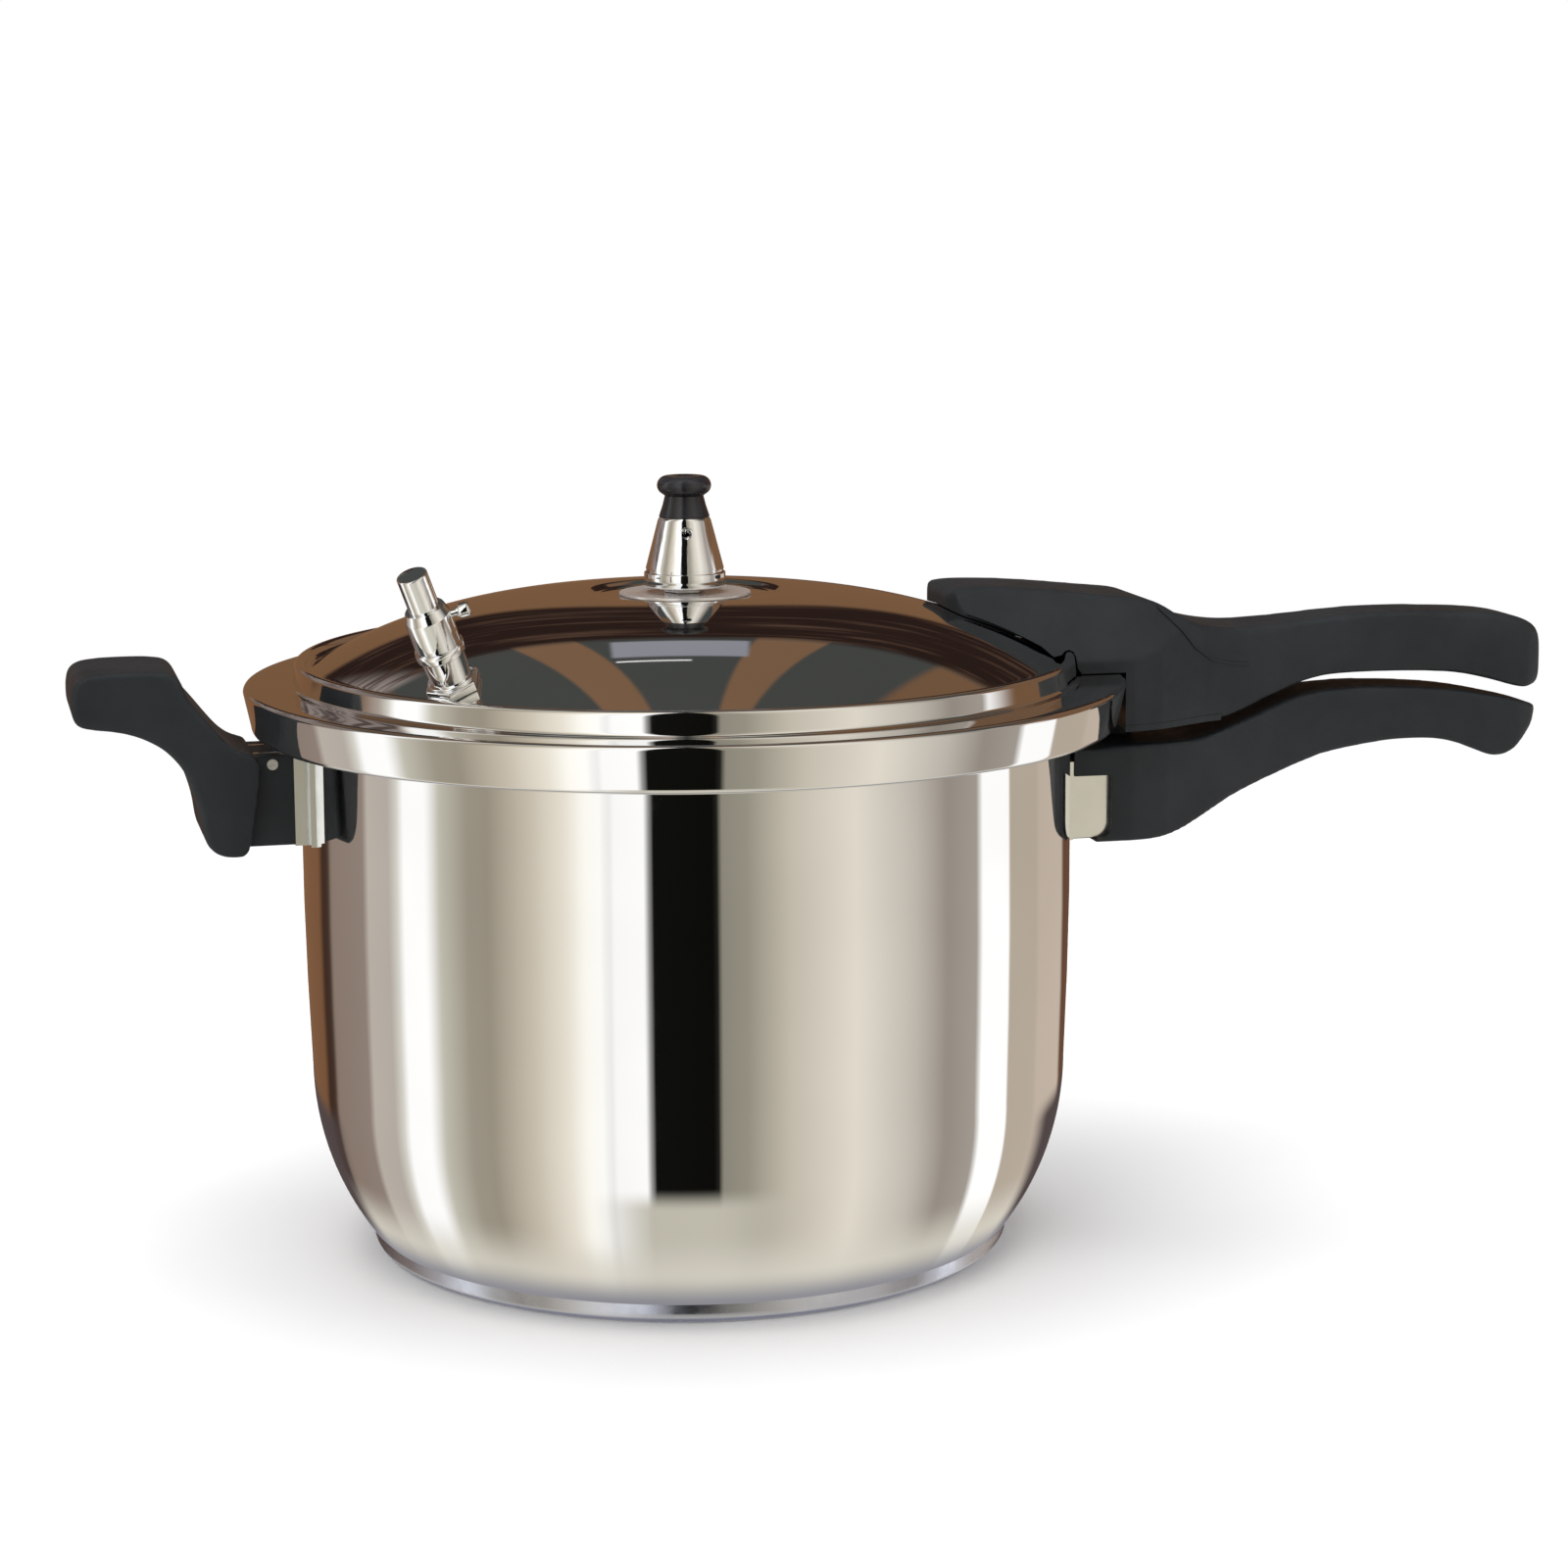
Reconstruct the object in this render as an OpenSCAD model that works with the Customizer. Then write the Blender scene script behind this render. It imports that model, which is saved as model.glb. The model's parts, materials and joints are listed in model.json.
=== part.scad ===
// Stovetop pressure cooker: stainless pot and twist-on lid with two long
// handles, a short helper handle, a deadweight regulator, a sprung safety
// valve and a float interlock in the lid handle.
// Millimetres. Origin at the centre of the base's underside, +X along the
// long handles, +Z up.

/* [Pot] */
// Outer radius of the pot wall
pot_r = 130; // [128:0.5:131]
// Thickness of the pot wall
pot_wall = 1.8; // [1.2:0.1:2.2]
// Radius of the large curve between wall and floor
pot_corner_r = 93; // [88:1:96]
// Height of the pot's rim flange
rim_z = 181; // [180:0.5:182]

/* [Base] */
// Height of the encapsulated base below the pot floor
base_h = 7; // [6:0.5:8]
// Outer radius of the base cup
base_r = 109; // [106:0.5:109]
// Thickness of the base cup
base_wall = 1; // [0.6:0.1:1.4]

/* [Lid] */
// Outer radius of the lid's skirt
lid_r = 148.3; // [147.5:0.1:149]
// Height of the lid's flat flange
lid_z = 193; // [192:0.5:194]
// Depth of the skirt
skirt_h = 15.4; // [15:0.1:16]
// Thickness of the lid
lid_wall = 1.5; // [1.2:0.1:1.8]
// Rise of the dome from its edge to its crown
dome_rise = 24.7; // [22:0.1:25]
// Number of bayonet lugs
lug_count = 6; // [6:1:6]

/* [Regulator] */
// Radius of the weight's foot
weight_r = 13.7; // [12:0.1:15]
// Radius of the disc under the weight
disc_r = 22.2; // [20:0.1:24]

/* [Safety valve] */
// Distance of the valve from the lid's centre
valve_at_r = 117; // [110:1:117]
// Direction of the valve, from the long handles
valve_at_angle = 220; // [200:1:230]

/* [Handles] */
// Half the width of the lid handle's root
root_half_w = 36; // [32:1:38]
// Half the width of the grips
grip_half_w = 12.5; // [11:0.5:14]
// Half the width of the helper handle
helper_half_w = 22; // [20:1:26]

/* [Interlock] */
// Distance of the float from the lid's centre
float_x = 114; // [112:1:116]
// Distance of the lock pin from the lid's centre
lock_x = 153; // [152:0.5:154]
// Distance of the lever's pivot from the lid's centre
pivot_x = 128; // [127:1:130]

/* [Hidden] */
$fn = 64;
gap = 0.3;

steel = [0.83, 0.82, 0.80];
base_steel = [0.66, 0.67, 0.70];
aluminium = [0.75, 0.76, 0.78];
bakelite = [0.07, 0.08, 0.08];
rubber = [0.55, 0.56, 0.56];
black_rubber = [0.12, 0.12, 0.12];
zinc = [0.72, 0.73, 0.75];

// Pot levels
corner_x = pot_r - 1.5 - pot_corner_r;
corner_z = 63;
wall_straight_z = 120;
rim_flange_r = 137;
lug_pitch = 360 / lug_count;
pot_lug_r = 142.6;
pot_lug_angle = 26;
lid_lug_angle = 28;
lid_lug_r = 138;
lug_t = 2;
rim_top_z = rim_z + pot_wall;

// Lid levels
dome_r = 126;
dome_z = 197.8;
dome_n = 3;
dome_steps = 20;
recess_r = 31;
recess_z = 220.6;
lid_bottom_z = lid_z - skirt_h;
lid_under_z = lid_z - lid_wall;
skirt_taper = 2.4;
vent_hole_r = 5.1;
float_hole_r = 3.4;
inner_screw_x = 112;
inner_screw_y = 18;
inner_screw_hole_r = 2.6;
inner_head_z = 198;

// Regulator levels
disc_t = 1;
weight_z = 223.2;
cone_z = 228.7;
knob_z = 246.6;
weight_top_z = 260.5;
cone_top_r = 8.6;
needle_r = 1.6;
pipe_r = 4;
pipe_bore_r = 1.2;
pipe_top_z = 229;

// Safety valve, heights along its own axis from the dome
valve_slope = atan(dome_rise * dome_n / dome_r * pow(valve_at_r / dome_r, dome_n - 1));
flange_h = 3.4;
lower_h = 13;
ring_h = 16.2;
housing_h = 27.4;
shoulder_h = 30;
plunger_h = 42;
plunger_r = 4.9;
housing_r = 7.3;
cavity_r = 5.4;
valve_hole_r = 5.2;
valve_bore_r = 2.2;

// Handle levels
cover_z = 172.7;
cover_t = 2.5;
cover_end_x = 185;
skirt_gap_r = lid_r + 0.6;
bracket_t = 1.8;
lock_r = 2.5;
lock_gap = 0.1;
socket_top_z = 170.5;
pivot_z = 211.2;
pivot_r = 1.5;
lever_t = 2;
float_top_z = pivot_z - lever_t / 2 - gap;
lock_top_z = float_top_z;
cavity_half_w = 7;
lock_spring_z = 199;
lock_head_z = lock_top_z - 1.8;
lock_coil_r = 3.4;
lock_wire_r = 0.4;

// ---------- shared shapes ----------

// Points of an arc about centre c, from angle a to angle b
function arc(c, r, a, b, n = 8) =
    [for (i = [0 : n]) let (t = a + (b - a) * i / n) c + r * [cos(t), sin(t)]];

// Catmull-Rom curve through a closed ring of points, n steps a span
function ring_curve(p, n = 3) = let (m = len(p)) [
    for (i = [0 : m - 1], k = [0 : n - 1])
        let (a = p[(i + m - 1) % m], b = p[i], c = p[(i + 1) % m],
             d = p[(i + 2) % m], t = k / n)
        0.5 * (2 * b + t * (c - a) + t * t * (2 * a - 5 * b + 4 * c - d)
               + t * t * t * (3 * b - a - 3 * c + d))
];

// Unit normal to the left of a path at point i
function left_normal(p, i) = let (
    d = p[min(i + 1, len(p) - 1)] - p[max(i - 1, 0)]) [-d.y, d.x] / norm(d);

// Closed outline of a wall of thickness t on the left of a path
function wall_outline(p, t) = concat(p,
    [for (i = [len(p) - 1 : -1 : 0]) p[i] + t * left_normal(p, i)]);

// Height of the dome's outer surface at radius r
function dome_height(r) = dome_z + dome_rise * (1 - pow(r / dome_r, dome_n));

// Sector of a ring
module ring_sector(r_in, r_out, z, h, angle)
    translate([0, 0, z]) rotate([0, 0, -angle / 2])
        rotate_extrude(angle = angle, $fn = 180)
            translate([r_in, 0]) square([r_out - r_in, h]);

// Round bar or disc standing on height z
module post(r, z, h, n = 48) translate([0, 0, z]) cylinder(r = r, h = h, $fn = n);

// Outline in the X-Z plane, extruded to both sides by half_w
module side_slab(points, half_w)
    rotate([90, 0, 0]) translate([0, 0, -half_w])
        linear_extrude(2 * half_w) polygon(points);

// Half outline in the X-Y plane, mirrored and extruded over the whole height
module plan_slab(points)
    linear_extrude(300) polygon(concat(points,
        [for (i = [len(points) - 1 : -1 : 0]) [points[i].x, -points[i].y]]));

// Helical wire as one closed tube
module coil(r, wire_r, z, h, turns, sides = 8, steps = 12) {
    rings = turns * steps;
    points = [for (i = [0 : rings], k = [0 : sides - 1])
        let (a = i * 360 / steps, b = k * 360 / sides, q = r + wire_r * cos(b))
        [q * cos(a), q * sin(a), z + h * i / rings + wire_r * sin(b)]];
    walls = [for (i = [0 : rings - 1], k = [0 : sides - 1])
        let (j = (k + 1) % sides)
        [i * sides + k, (i + 1) * sides + k, (i + 1) * sides + j, i * sides + j]];
    first = [for (k = [0 : sides - 1]) k];
    last = [for (k = [sides - 1 : -1 : 0]) rings * sides + k];
    polyhedron(points, concat(walls, [first, last]), convexity = 8);
}

// Puts a child on the dome, with +Z along the safety valve's axis
module at_valve() rotate([0, 0, valve_at_angle])
    translate([valve_at_r, 0, dome_height(valve_at_r)])
        rotate([0, valve_slope, 0]) children();

// ---------- pot ----------

pot_path = concat(
    [[0, base_h]],
    arc([corner_x, corner_z], pot_corner_r,
        -acos((sqrt(pow(pot_corner_r, 2) - pow(corner_z - base_h, 2))) / pot_corner_r),
        0, 18),
    [[pot_r, wall_straight_z], [pot_r, rim_z - 3]],
    arc([pot_r + 3, rim_z - 3], 3, 160, 90, 4),
    [[rim_flange_r, rim_z]]
);

module pot_shell() color(steel) {
    union() {
        rotate_extrude($fn = 180) polygon(wall_outline(pot_path, pot_wall));
        for (i = [0 : lug_count - 1]) rotate([0, 0, i * lug_pitch])
            ring_sector(rim_flange_r - 2, pot_lug_r, rim_z, pot_wall, pot_lug_angle);
    }
}

module heat_spreader() color(aluminium)
    rotate_extrude($fn = 180) polygon([
        [0, base_wall], [base_r - 5.5, base_wall],
        [base_r - base_wall - 0.2, base_wall + 4.2],
        [base_r - base_wall - 0.2, base_h], [0, base_h]
    ]);

module base_cap() color(base_steel)
    rotate_extrude($fn = 180) polygon(wall_outline(concat(
        [[0, 0]], arc([base_r - 4, 4], 4, -90, 0, 6), [[base_r, base_h]]
    ), base_wall));

// Bracket welded to the pot wall: two wings and an open box between them
module wall_bracket(half_w, box_half, z0, z1, box_end) {
    h = z1 - z0;
    inner_half = box_half - bracket_t;
    difference() {
        union() {
            intersection() {
                post(pot_r + bracket_t, z0, h, 180);
                translate([pot_r * 0.8, -half_w, z0 - 1]) cube([pot_r, 2 * half_w, h + 2]);
            }
            translate([pot_r - 8, -box_half, z0]) cube([box_end - pot_r + 8, 2 * box_half, h]);
        }
        translate([pot_r * 0.7, -inner_half, z0 + bracket_t])
            cube([box_end - pot_r * 0.7 - bracket_t, 2 * inner_half, h]);
        post(pot_r, z0 - 1, h + 2, 180);
    }
}

main_box_end = 147;
main_box_half = 24.4;
main_bracket_z = [134.9, 162];
main_screw_x = 139;
window_top_z = 156.8;

module pot_handle_bracket() color(steel)
    difference() {
        wall_bracket(28, main_box_half, main_bracket_z[0], main_bracket_z[1], main_box_end);
        translate([main_screw_x, 0, 0]) post(2, 130, 8);
    }

// Side outline of the pot handle: upper edge, tip, lower edge
pot_handle_side = ring_curve([
    [120, 165.2], [134.6, 165.8], [148.5, 167.1], [165, 166.9], [179.5, 167.4],
    [199.6, 172.9], [212, 177.4], [224.4, 180.2], [245.8, 180.9], [274, 178.9],
    [295, 175], [307, 171.9], [309.6, 169.2], [306, 162.5], [299.8, 156.4],
    [292.1, 153.9], [281.3, 158], [270.8, 161], [258, 161.8], [244.8, 160.9],
    [225, 157.6], [207.8, 151.6], [191, 145.4], [172.7, 137.3], [163, 134.4],
    [155.5, 133.5], [141.9, 133.4], [128.7, 133.4], [120, 133.4]
]);
pot_handle_plan = [
    [120, 26.6], [134, 27.4], [150, 28], [163, 26.5], [176, 22], [190, 17], [205, 13.8],
    [225, grip_half_w], [286, grip_half_w], [300, 10.8], [307, 7.5], [310, 3]
];
pot_handle_base_z = 133.4;

// Window in each flank of the root, open towards the pot and below
window_outline = concat(
    [[122, 130], [138, 130]], arc([138, 139.6], 5, -90, 0, 6),
    [[143, window_top_z - 1], [142, window_top_z], [122, window_top_z]]
);

module pot_handle() color(bakelite)
    difference() {
        union() {
            intersection() {
                side_slab(pot_handle_side, 30);
                plan_slab(pot_handle_plan);
            }
            post_at_lock(lock_r + 3.2, socket_top_z - 6, 6);
        }
        post(pot_r + bracket_t + 0.4, 100, 90, 180);
        // pocket of the bracket, and a window to it on each side
        translate([120, -main_box_half - gap, main_bracket_z[0] - gap])
            cube([main_box_end - 120 + gap, 2 * (main_box_half + gap),
                  main_bracket_z[1] - main_bracket_z[0] + 2 * gap]);
        for (s = [-1, 1]) translate([0, s * 24, 0]) side_slab(window_outline, 6);
        // blind socket of the lock pin
        post_at_lock(lock_r + 0.5, socket_top_z - 8, 9);
        translate([main_screw_x, 0, 0]) post(2.1, 125, 10);
    }

module post_at_lock(r, z, h) translate([lock_x, 0, 0]) post(r, z, h);

module pot_handle_screw() color(zinc)
    difference() {
        translate([main_screw_x, 0, 0]) union() {
            post(2, pot_handle_base_z - 1, 7, 32);
            post(3.6, pot_handle_base_z - 1.4, 1.4, 32);
        }
        translate([main_screw_x, 0, pot_handle_base_z - 1.4]) cube([5, 0.9, 1], center = true);
    }

// ---------- helper handle ----------

helper_ear_end = 147;
helper_screw_x = 141.5;
helper_screw_z = 171.4;
helper_screw_r = 1.1;
helper_root_half = helper_half_w - 5;

helper_box_end = 134.6;

module helper_bracket() color(steel) rotate([0, 0, 180])
    difference() {
        union() {
            wall_bracket(21.5, helper_root_half, 144, 174, helper_box_end);
            for (s = [-1, 1])
                translate([helper_box_end - 0.5, s * 8.5 - bracket_t / 2, 147])
                    cube([helper_ear_end - helper_box_end + 0.5, bracket_t, 27]);
        }
        translate([helper_screw_x, 0, helper_screw_z]) rotate([90, 0, 0])
            cylinder(r = helper_screw_r + 0.1, h = 80, center = true);
    }

helper_side = ring_curve([
    [-147.4, 174.6], [-150.5, 175.8], [-154, 177.6], [-158, 181.4], [-164.3, 189.4], [-168.4, 194.6],
    [-169.9, 199], [-172.2, 202], [-176, 203.2], [-185, 203.6], [-197, 203.3],
    [-202.4, 202], [-204.8, 199], [-205.3, 193], [-204.6, 188.4], [-201.5, 186],
    [-191.2, 184.4], [-184.8, 182.6], [-179.6, 180.1], [-175, 176.7], [-170.2, 170.6],
    [-166.9, 162], [-165.3, 155.6], [-164.2, 148], [-162, 144.2], [-158, 142],
    [-152.8, 141.8], [-150.4, 143.4], [-148.9, 149], [-147.2, 160], [-145.9, 170]
]);

module helper_handle() color(bakelite)
    difference() {
        union() {
            side_slab(helper_side, helper_half_w);
            translate([-152, -helper_root_half, 144.5])
                cube([151.9 - helper_box_end, 2 * helper_root_half, 29.3]);
        }
        // ears of the bracket
        for (s = [-1, 1])
            translate([-helper_ear_end - 0.3, s * 8.5 - bracket_t / 2 - 0.1, 146.8])
                cube([helper_ear_end - helper_box_end + 1, bracket_t + 0.2, 27.4]);
        translate([-helper_screw_x, 0, helper_screw_z]) rotate([90, 0, 0])
            cylinder(r = helper_screw_r + 0.1, h = 80, center = true);
    }

module helper_screw() color(zinc)
    translate([-helper_screw_x, 0, helper_screw_z]) rotate([90, 0, 0]) difference() {
        union() {
            translate([0, 0, 2 - helper_root_half]) cylinder(r = helper_screw_r, h = 2 * helper_root_half - 2);
            translate([0, 0, helper_root_half]) cylinder(r = 1.8, h = 0.8);
        }
        translate([0, 0, helper_root_half + 0.7]) cube([5, 0.6, 0.8], center = true);
    }

// ---------- gasket and lid ----------

gasket_z0 = rim_top_z + 0.2;
gasket_z1 = lid_under_z - 0.2;

module gasket() color(rubber)
    rotate_extrude($fn = 180) difference() {
        translate([133, gasket_z0]) square([11.4, gasket_z1 - gasket_z0]);
        translate([132, gasket_z0 + 3]) square([6, 1.8]);
    }

lid_path = concat(
    arc([lid_r - skirt_taper - 2.2, lid_bottom_z + 2.2], 2.2, -90, 0, 5),
    arc([lid_r - 1.9, lid_z - 1.9], 1.9, 0, 90, 5),
    [[134.2, lid_z]],
    arc([133.6, lid_z + 1.8], 1.8, 270, 190, 4),
    arc([129.3, lid_z + 6], 1.9, 8, 130, 6),
    [[126.6, dome_z + 0.15]],
    [for (i = [0 : dome_steps]) let (
        r = dome_r - 1 - (dome_r - 1 - recess_r - 2) * i / dome_steps)
        [r, dome_height(r)]],
    [[recess_r + 0.6, recess_z + 0.5], [recess_r - 0.8, recess_z],
     [vent_hole_r, recess_z]]
);

module lid_shell() color(steel)
    difference() {
        union() {
            rotate_extrude($fn = 180) polygon(wall_outline(lid_path, lid_wall));
            for (i = [0 : lug_count - 1]) rotate([0, 0, i * lug_pitch])
                ring_sector(lid_lug_r, lid_r - 3, rim_z - gap - lug_t, lug_t, lid_lug_angle);
        }
        at_valve() post(valve_hole_r, -20, 30);
        translate([float_x, 0, 0]) post(float_hole_r, 190, 30);
        for (s = [-1, 1]) translate([inner_screw_x, s * inner_screw_y, 0])
            post(inner_screw_hole_r, 185, 30);
    }

// ---------- regulator ----------

module vent_disc() color(steel)
    rotate_extrude($fn = 96) polygon([
        [vent_hole_r, recess_z], [disc_r, recess_z], [disc_r, recess_z + disc_t * 0.6],
        [disc_r - 0.5, recess_z + disc_t], [vent_hole_r, recess_z + disc_t]
    ]);

vent_under_z = recess_z - lid_wall;
vent_nut_t = 4;

module vent_pipe() color(zinc)
    difference() {
        union() {
            post(pipe_r, vent_under_z - 8, pipe_top_z - vent_under_z + 8);
            post(5, vent_under_z - 0.2, 2);
            post(7, recess_z + disc_t, 1.5, 6);
        }
        post(pipe_bore_r, vent_under_z - 9, 60, 24);
        // seat for the needle's tip
        translate([0, 0, pipe_top_z - 1.2])
            cylinder(r1 = pipe_bore_r, r2 = pipe_bore_r + 1.21, h = 1.21, $fn = 24);
    }

module vent_gasket() color(black_rubber)
    difference() {
        post(9, vent_under_z - 1.5, 1.5);
        post(5.05, vent_under_z - 2, 3);
    }

module vent_nut() color(zinc)
    difference() {
        post(9.4, vent_under_z - 1.5 - vent_nut_t, vent_nut_t, 6);
        post(pipe_r, vent_under_z - 10, 10);
    }

module anti_block_cap() color(steel)
    difference() {
        post(9.5, vent_under_z - 12.5, 7, 64);
        post(8.7, vent_under_z - 11.5, 7, 64);
        for (i = [0 : 7]) rotate([0, 0, i * 45])
            translate([9, 0, vent_under_z - 9.5]) rotate([0, 90, 0])
                cylinder(r = 1, h = 4, center = true);
        post(1, vent_under_z - 13, 3, 24);
    }

module weight_needle() color(zinc)
    union() {
        translate([0, 0, pipe_top_z - 0.9]) cylinder(r1 = 1.1, r2 = needle_r, h = 1.6);
        post(needle_r, pipe_top_z + 0.7, 9.3);
        post(3, pipe_top_z + 4, 1.5);
    }

needle_bore_z = 234.9;
cavity_top_z = needle_bore_z;

module weight_body() color(steel)
    difference() {
        rotate_extrude($fn = 96) polygon([
            [0, weight_z], [weight_r - 0.6, weight_z], [weight_r, weight_z + 0.6],
            [weight_r, cone_z - 0.5], [weight_r - 0.5, cone_z],
            [cone_top_r, knob_z], [0, knob_z]
        ]);
        post(pipe_r + 0.7, weight_z - 1, cavity_top_z - weight_z + 1);
        post(7.4, weight_z - 1, 2.6);
        post(needle_r + 0.06, weight_z, 239.6 - weight_z);
        // side outlet
        translate([0, 0, 241.6]) rotate([90, 0, -12]) cylinder(r = 1.6, h = 14);
        post(2, 240.4, 10);
    }

module weight_knob() color(bakelite)
    difference() {
        rotate_extrude($fn = 96) polygon(concat(
            [[0, knob_z], [cone_top_r, knob_z], [6.4, 254.2]],
            arc([5.9, 257.3], 3.2, -70, 90, 10),
            [[0, weight_top_z]]
        ));
        post(2, knob_z - 1, 8);
    }

module weight_screw() color(zinc) post(2, 243.4, 9.4, 32);

// ---------- safety valve ----------

// The seal lies this far below the dome, clear of its curve
valve_seat = -lid_wall - gap;
valve_seal_t = 2;
valve_nut_t = 4;

module valve_body() color(zinc) at_valve()
    difference() {
        union() {
            post(9.2, 0, flange_h, 6);
            translate([0, 0, flange_h]) cylinder(r1 = 6.5, r2 = 7, h = lower_h - flange_h, $fn = 64);
            post(7.9, lower_h, ring_h - lower_h, 64);
            post(valve_hole_r - 0.2, -9, 9.5, 48);
        }
        post(valve_bore_r, -10, 20, 32);
        post(cavity_r, 9, 10, 48);
    }

module valve_gasket() color(black_rubber) at_valve()
    difference() {
        post(9, valve_seat - valve_seal_t, valve_seal_t, 48);
        post(valve_hole_r, valve_seat - valve_seal_t - 1, valve_seal_t + 2, 48);
    }

module valve_nut() color(zinc) at_valve()
    difference() {
        post(8.6, valve_seat - valve_seal_t - valve_nut_t, valve_nut_t, 6);
        post(valve_hole_r - 0.2, -10, 12, 48);
    }

module valve_housing() color(steel) at_valve()
    difference() {
        rotate_extrude($fn = 72) polygon([
            [0, ring_h], [housing_r, ring_h], [housing_r, housing_h],
            [plunger_r + 1.2, shoulder_h], [0, shoulder_h]
        ]);
        post(cavity_r, ring_h - 1, spring_top_z - ring_h + 1, 48);
        post(rod_r + 0.1, ring_h, 20, 48);
        post(plunger_r + 0.06, spring_top_z + 1, 20, 64);
        rotate([0, 0, side_pin_angle]) translate([0, 0, side_pin_h]) rotate([0, 90, 0])
            translate([0, 0, housing_r - 1]) cylinder(r = 1.1, h = 4);
    }

valve_spring_z0 = 12.5;
spring_top_z = 22.8;
rod_r = 1.7;
side_pin_angle = 130;
side_pin_h = housing_h - 2;

module valve_spring() color(zinc) at_valve()
    coil(3.6, 0.45, valve_spring_z0, 9.6, 6);

// Poppet, guide rod and the tube that stands out of the housing
module valve_plunger() color(steel) at_valve()
    union() {
        cylinder_from(rod_r, 8.6, 18);
        cylinder_from(4.6, 9.3, 2.6);
        cylinder_from(plunger_r, spring_top_z + 1.2, plunger_h - spring_top_z - 1.2);
    }

module cylinder_from(r, z, h) translate([0, 0, z]) cylinder(r = r, h = h, $fn = 64);

module valve_side_pin() color(steel) at_valve()
    rotate([0, 0, side_pin_angle]) translate([0, 0, side_pin_h]) rotate([0, 90, 0])
        rotate_extrude($fn = 48) polygon([
            [0, housing_r - 0.8], [1.1, housing_r - 0.8], [1.1, housing_r + 1.6],
            [2, housing_r + 1.9], [2.4, housing_r + 2.6], [2.4, housing_r + 5.6],
            [1.7, housing_r + 6.6], [0, housing_r + 6.6]
        ]);

// ---------- lid handle ----------

lid_handle_side = ring_curve([
    [88, 211], [88.4, 218.2], [92.5, 221.1], [107.5, 221], [125, 219.6], [143, 217.5],
    [157, 215.8], [163, 213.4], [168.5, 209.9], [179.5, 206.1], [194, 204.1],
    [215, 205.2], [240, 207], [266, 207], [290, 205.5], [303, 202.4], [309, 197.5],
    [310.8, 189], [310.5, 181.6], [306, 178.3], [300, 178.6], [289, 181.8],
    [273, 185], [245, 186.3], [224, 185.3], [208, 180.3], [192, 174.4],
    [182, 172.9], [168, 172.7], [140, 172.7], [110, 173]
]);
lid_handle_plan = [
    [88.2, 11], [90, 19], [94, 26], [100, 32], [108, root_half_w],
    [148, root_half_w], [158, 33.5], [168, 28], [178, 22.4], [190, 17.6],
    [204, 14.2], [220, grip_half_w + 0.3], [293, grip_half_w], [303, 10.8],
    [309, 7.5], [311, 3]
];
crown_half_w = 15.5;

// Everything that the lid handle's root has to clear
module lid_outline(clear) {
    rotate_extrude($fn = 180) polygon(concat(
        [[0, 0], [lid_r + 0.6, 0], [lid_r + 0.6, lid_z + clear], [133.8, lid_z + clear],
         [132.3, lid_z + 2.3], [131.7, lid_z + 6.2], [130.9, lid_z + 7.6],
         [129.5, lid_z + 8 + clear], [127.9, lid_z + 7.9], [126.8, lid_z + 6.8]],
        [for (i = [0 : 12]) let (r = 124 - i * 5)
            [r, dome_height(r) + clear]],
        [[0, 219]]
    ));
}

// Wider gap over the dome under the outer edges of the lid handle
module flank_gap() difference() {
    rotate_extrude($fn = 180) polygon(concat(
        [[60, 190], [124.4, 190], [124.4, 199.1]],
        [for (i = [0 : 12]) let (r = 120.5 - i * 5) [r, dome_height(r) + 1.5]]
    ));
    translate([50, -22, 180]) cube([110, 44, 60]);
}

module lid_handle() color(bakelite)
    difference() {
        intersection() {
            side_slab(lid_handle_side, 40);
            plan_slab(lid_handle_plan);
            // sloping flanks of the root
            rotate([90, 0, 90]) linear_extrude(320) polygon([
                [-root_half_w - 0.5, 160], [root_half_w + 0.5, 160],
                [root_half_w + 0.5, 197], [crown_half_w + 2, 219.5], [crown_half_w - 1, 222.4],
                [1 - crown_half_w, 222.4], [-crown_half_w - 2, 219.5],
                [-root_half_w - 0.5, 197]
            ]);
        }
        lid_outline(0.3);
        flank_gap();
        // bottom cover
        translate([140, -40, cover_z - 1]) cube([cover_end_x - 140, 80, cover_t + 1]);
        // hollow for the float, the lever and the lock pin
        lever_space();
        post_at_lock(5, lock_spring_z, 12);
        post_at_lock(lock_r + lock_gap, 168, 34);
        // bosses of the screws and of the bracket
        for (s = [-1, 1]) translate([inner_screw_x, s * inner_screw_y, 0])
            post(2.5, 195, 17.5);
        translate([cover_screw_x, 0, 0]) post(2, 170, 20);
        translate([133.6, -bracket_half_w - 0.2, lid_z - 1])
            cube([11, 2 * bracket_half_w + 0.4, 1 + bracket_t + 0.3]);
        for (s = [-1, 1])
            translate([136.8, s * 20 - bracket_t / 2 - 0.2, lid_z - 1])
                cube([7.4, bracket_t + 0.4, 14]);
    }

bracket_half_w = 24;
cover_screw_x = 176;

module lever_space()
    for (b = [[float_x - 7, pivot_x + 3.6, 195, 217.2], [pivot_x, lock_x + 2.6, 199, pivot_z + 1.7]])
        translate([b[0], -cavity_half_w, b[2]])
            cube([b[1] - b[0], 2 * cavity_half_w, b[3] - b[2]]);

module lid_handle_cover() color(bakelite)
    difference() {
        intersection() {
            translate([140, -40, cover_z + 0.2]) cube([cover_end_x - 140.2, 80, cover_t - 0.3]);
            plan_slab(lid_handle_plan);
        }
        post(skirt_gap_r, 160, 40, 180);
        post_at_lock(lock_r + lock_gap, 168, 12);
        translate([cover_screw_x, 0, 0]) post(2, 168, 20);
    }

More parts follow.
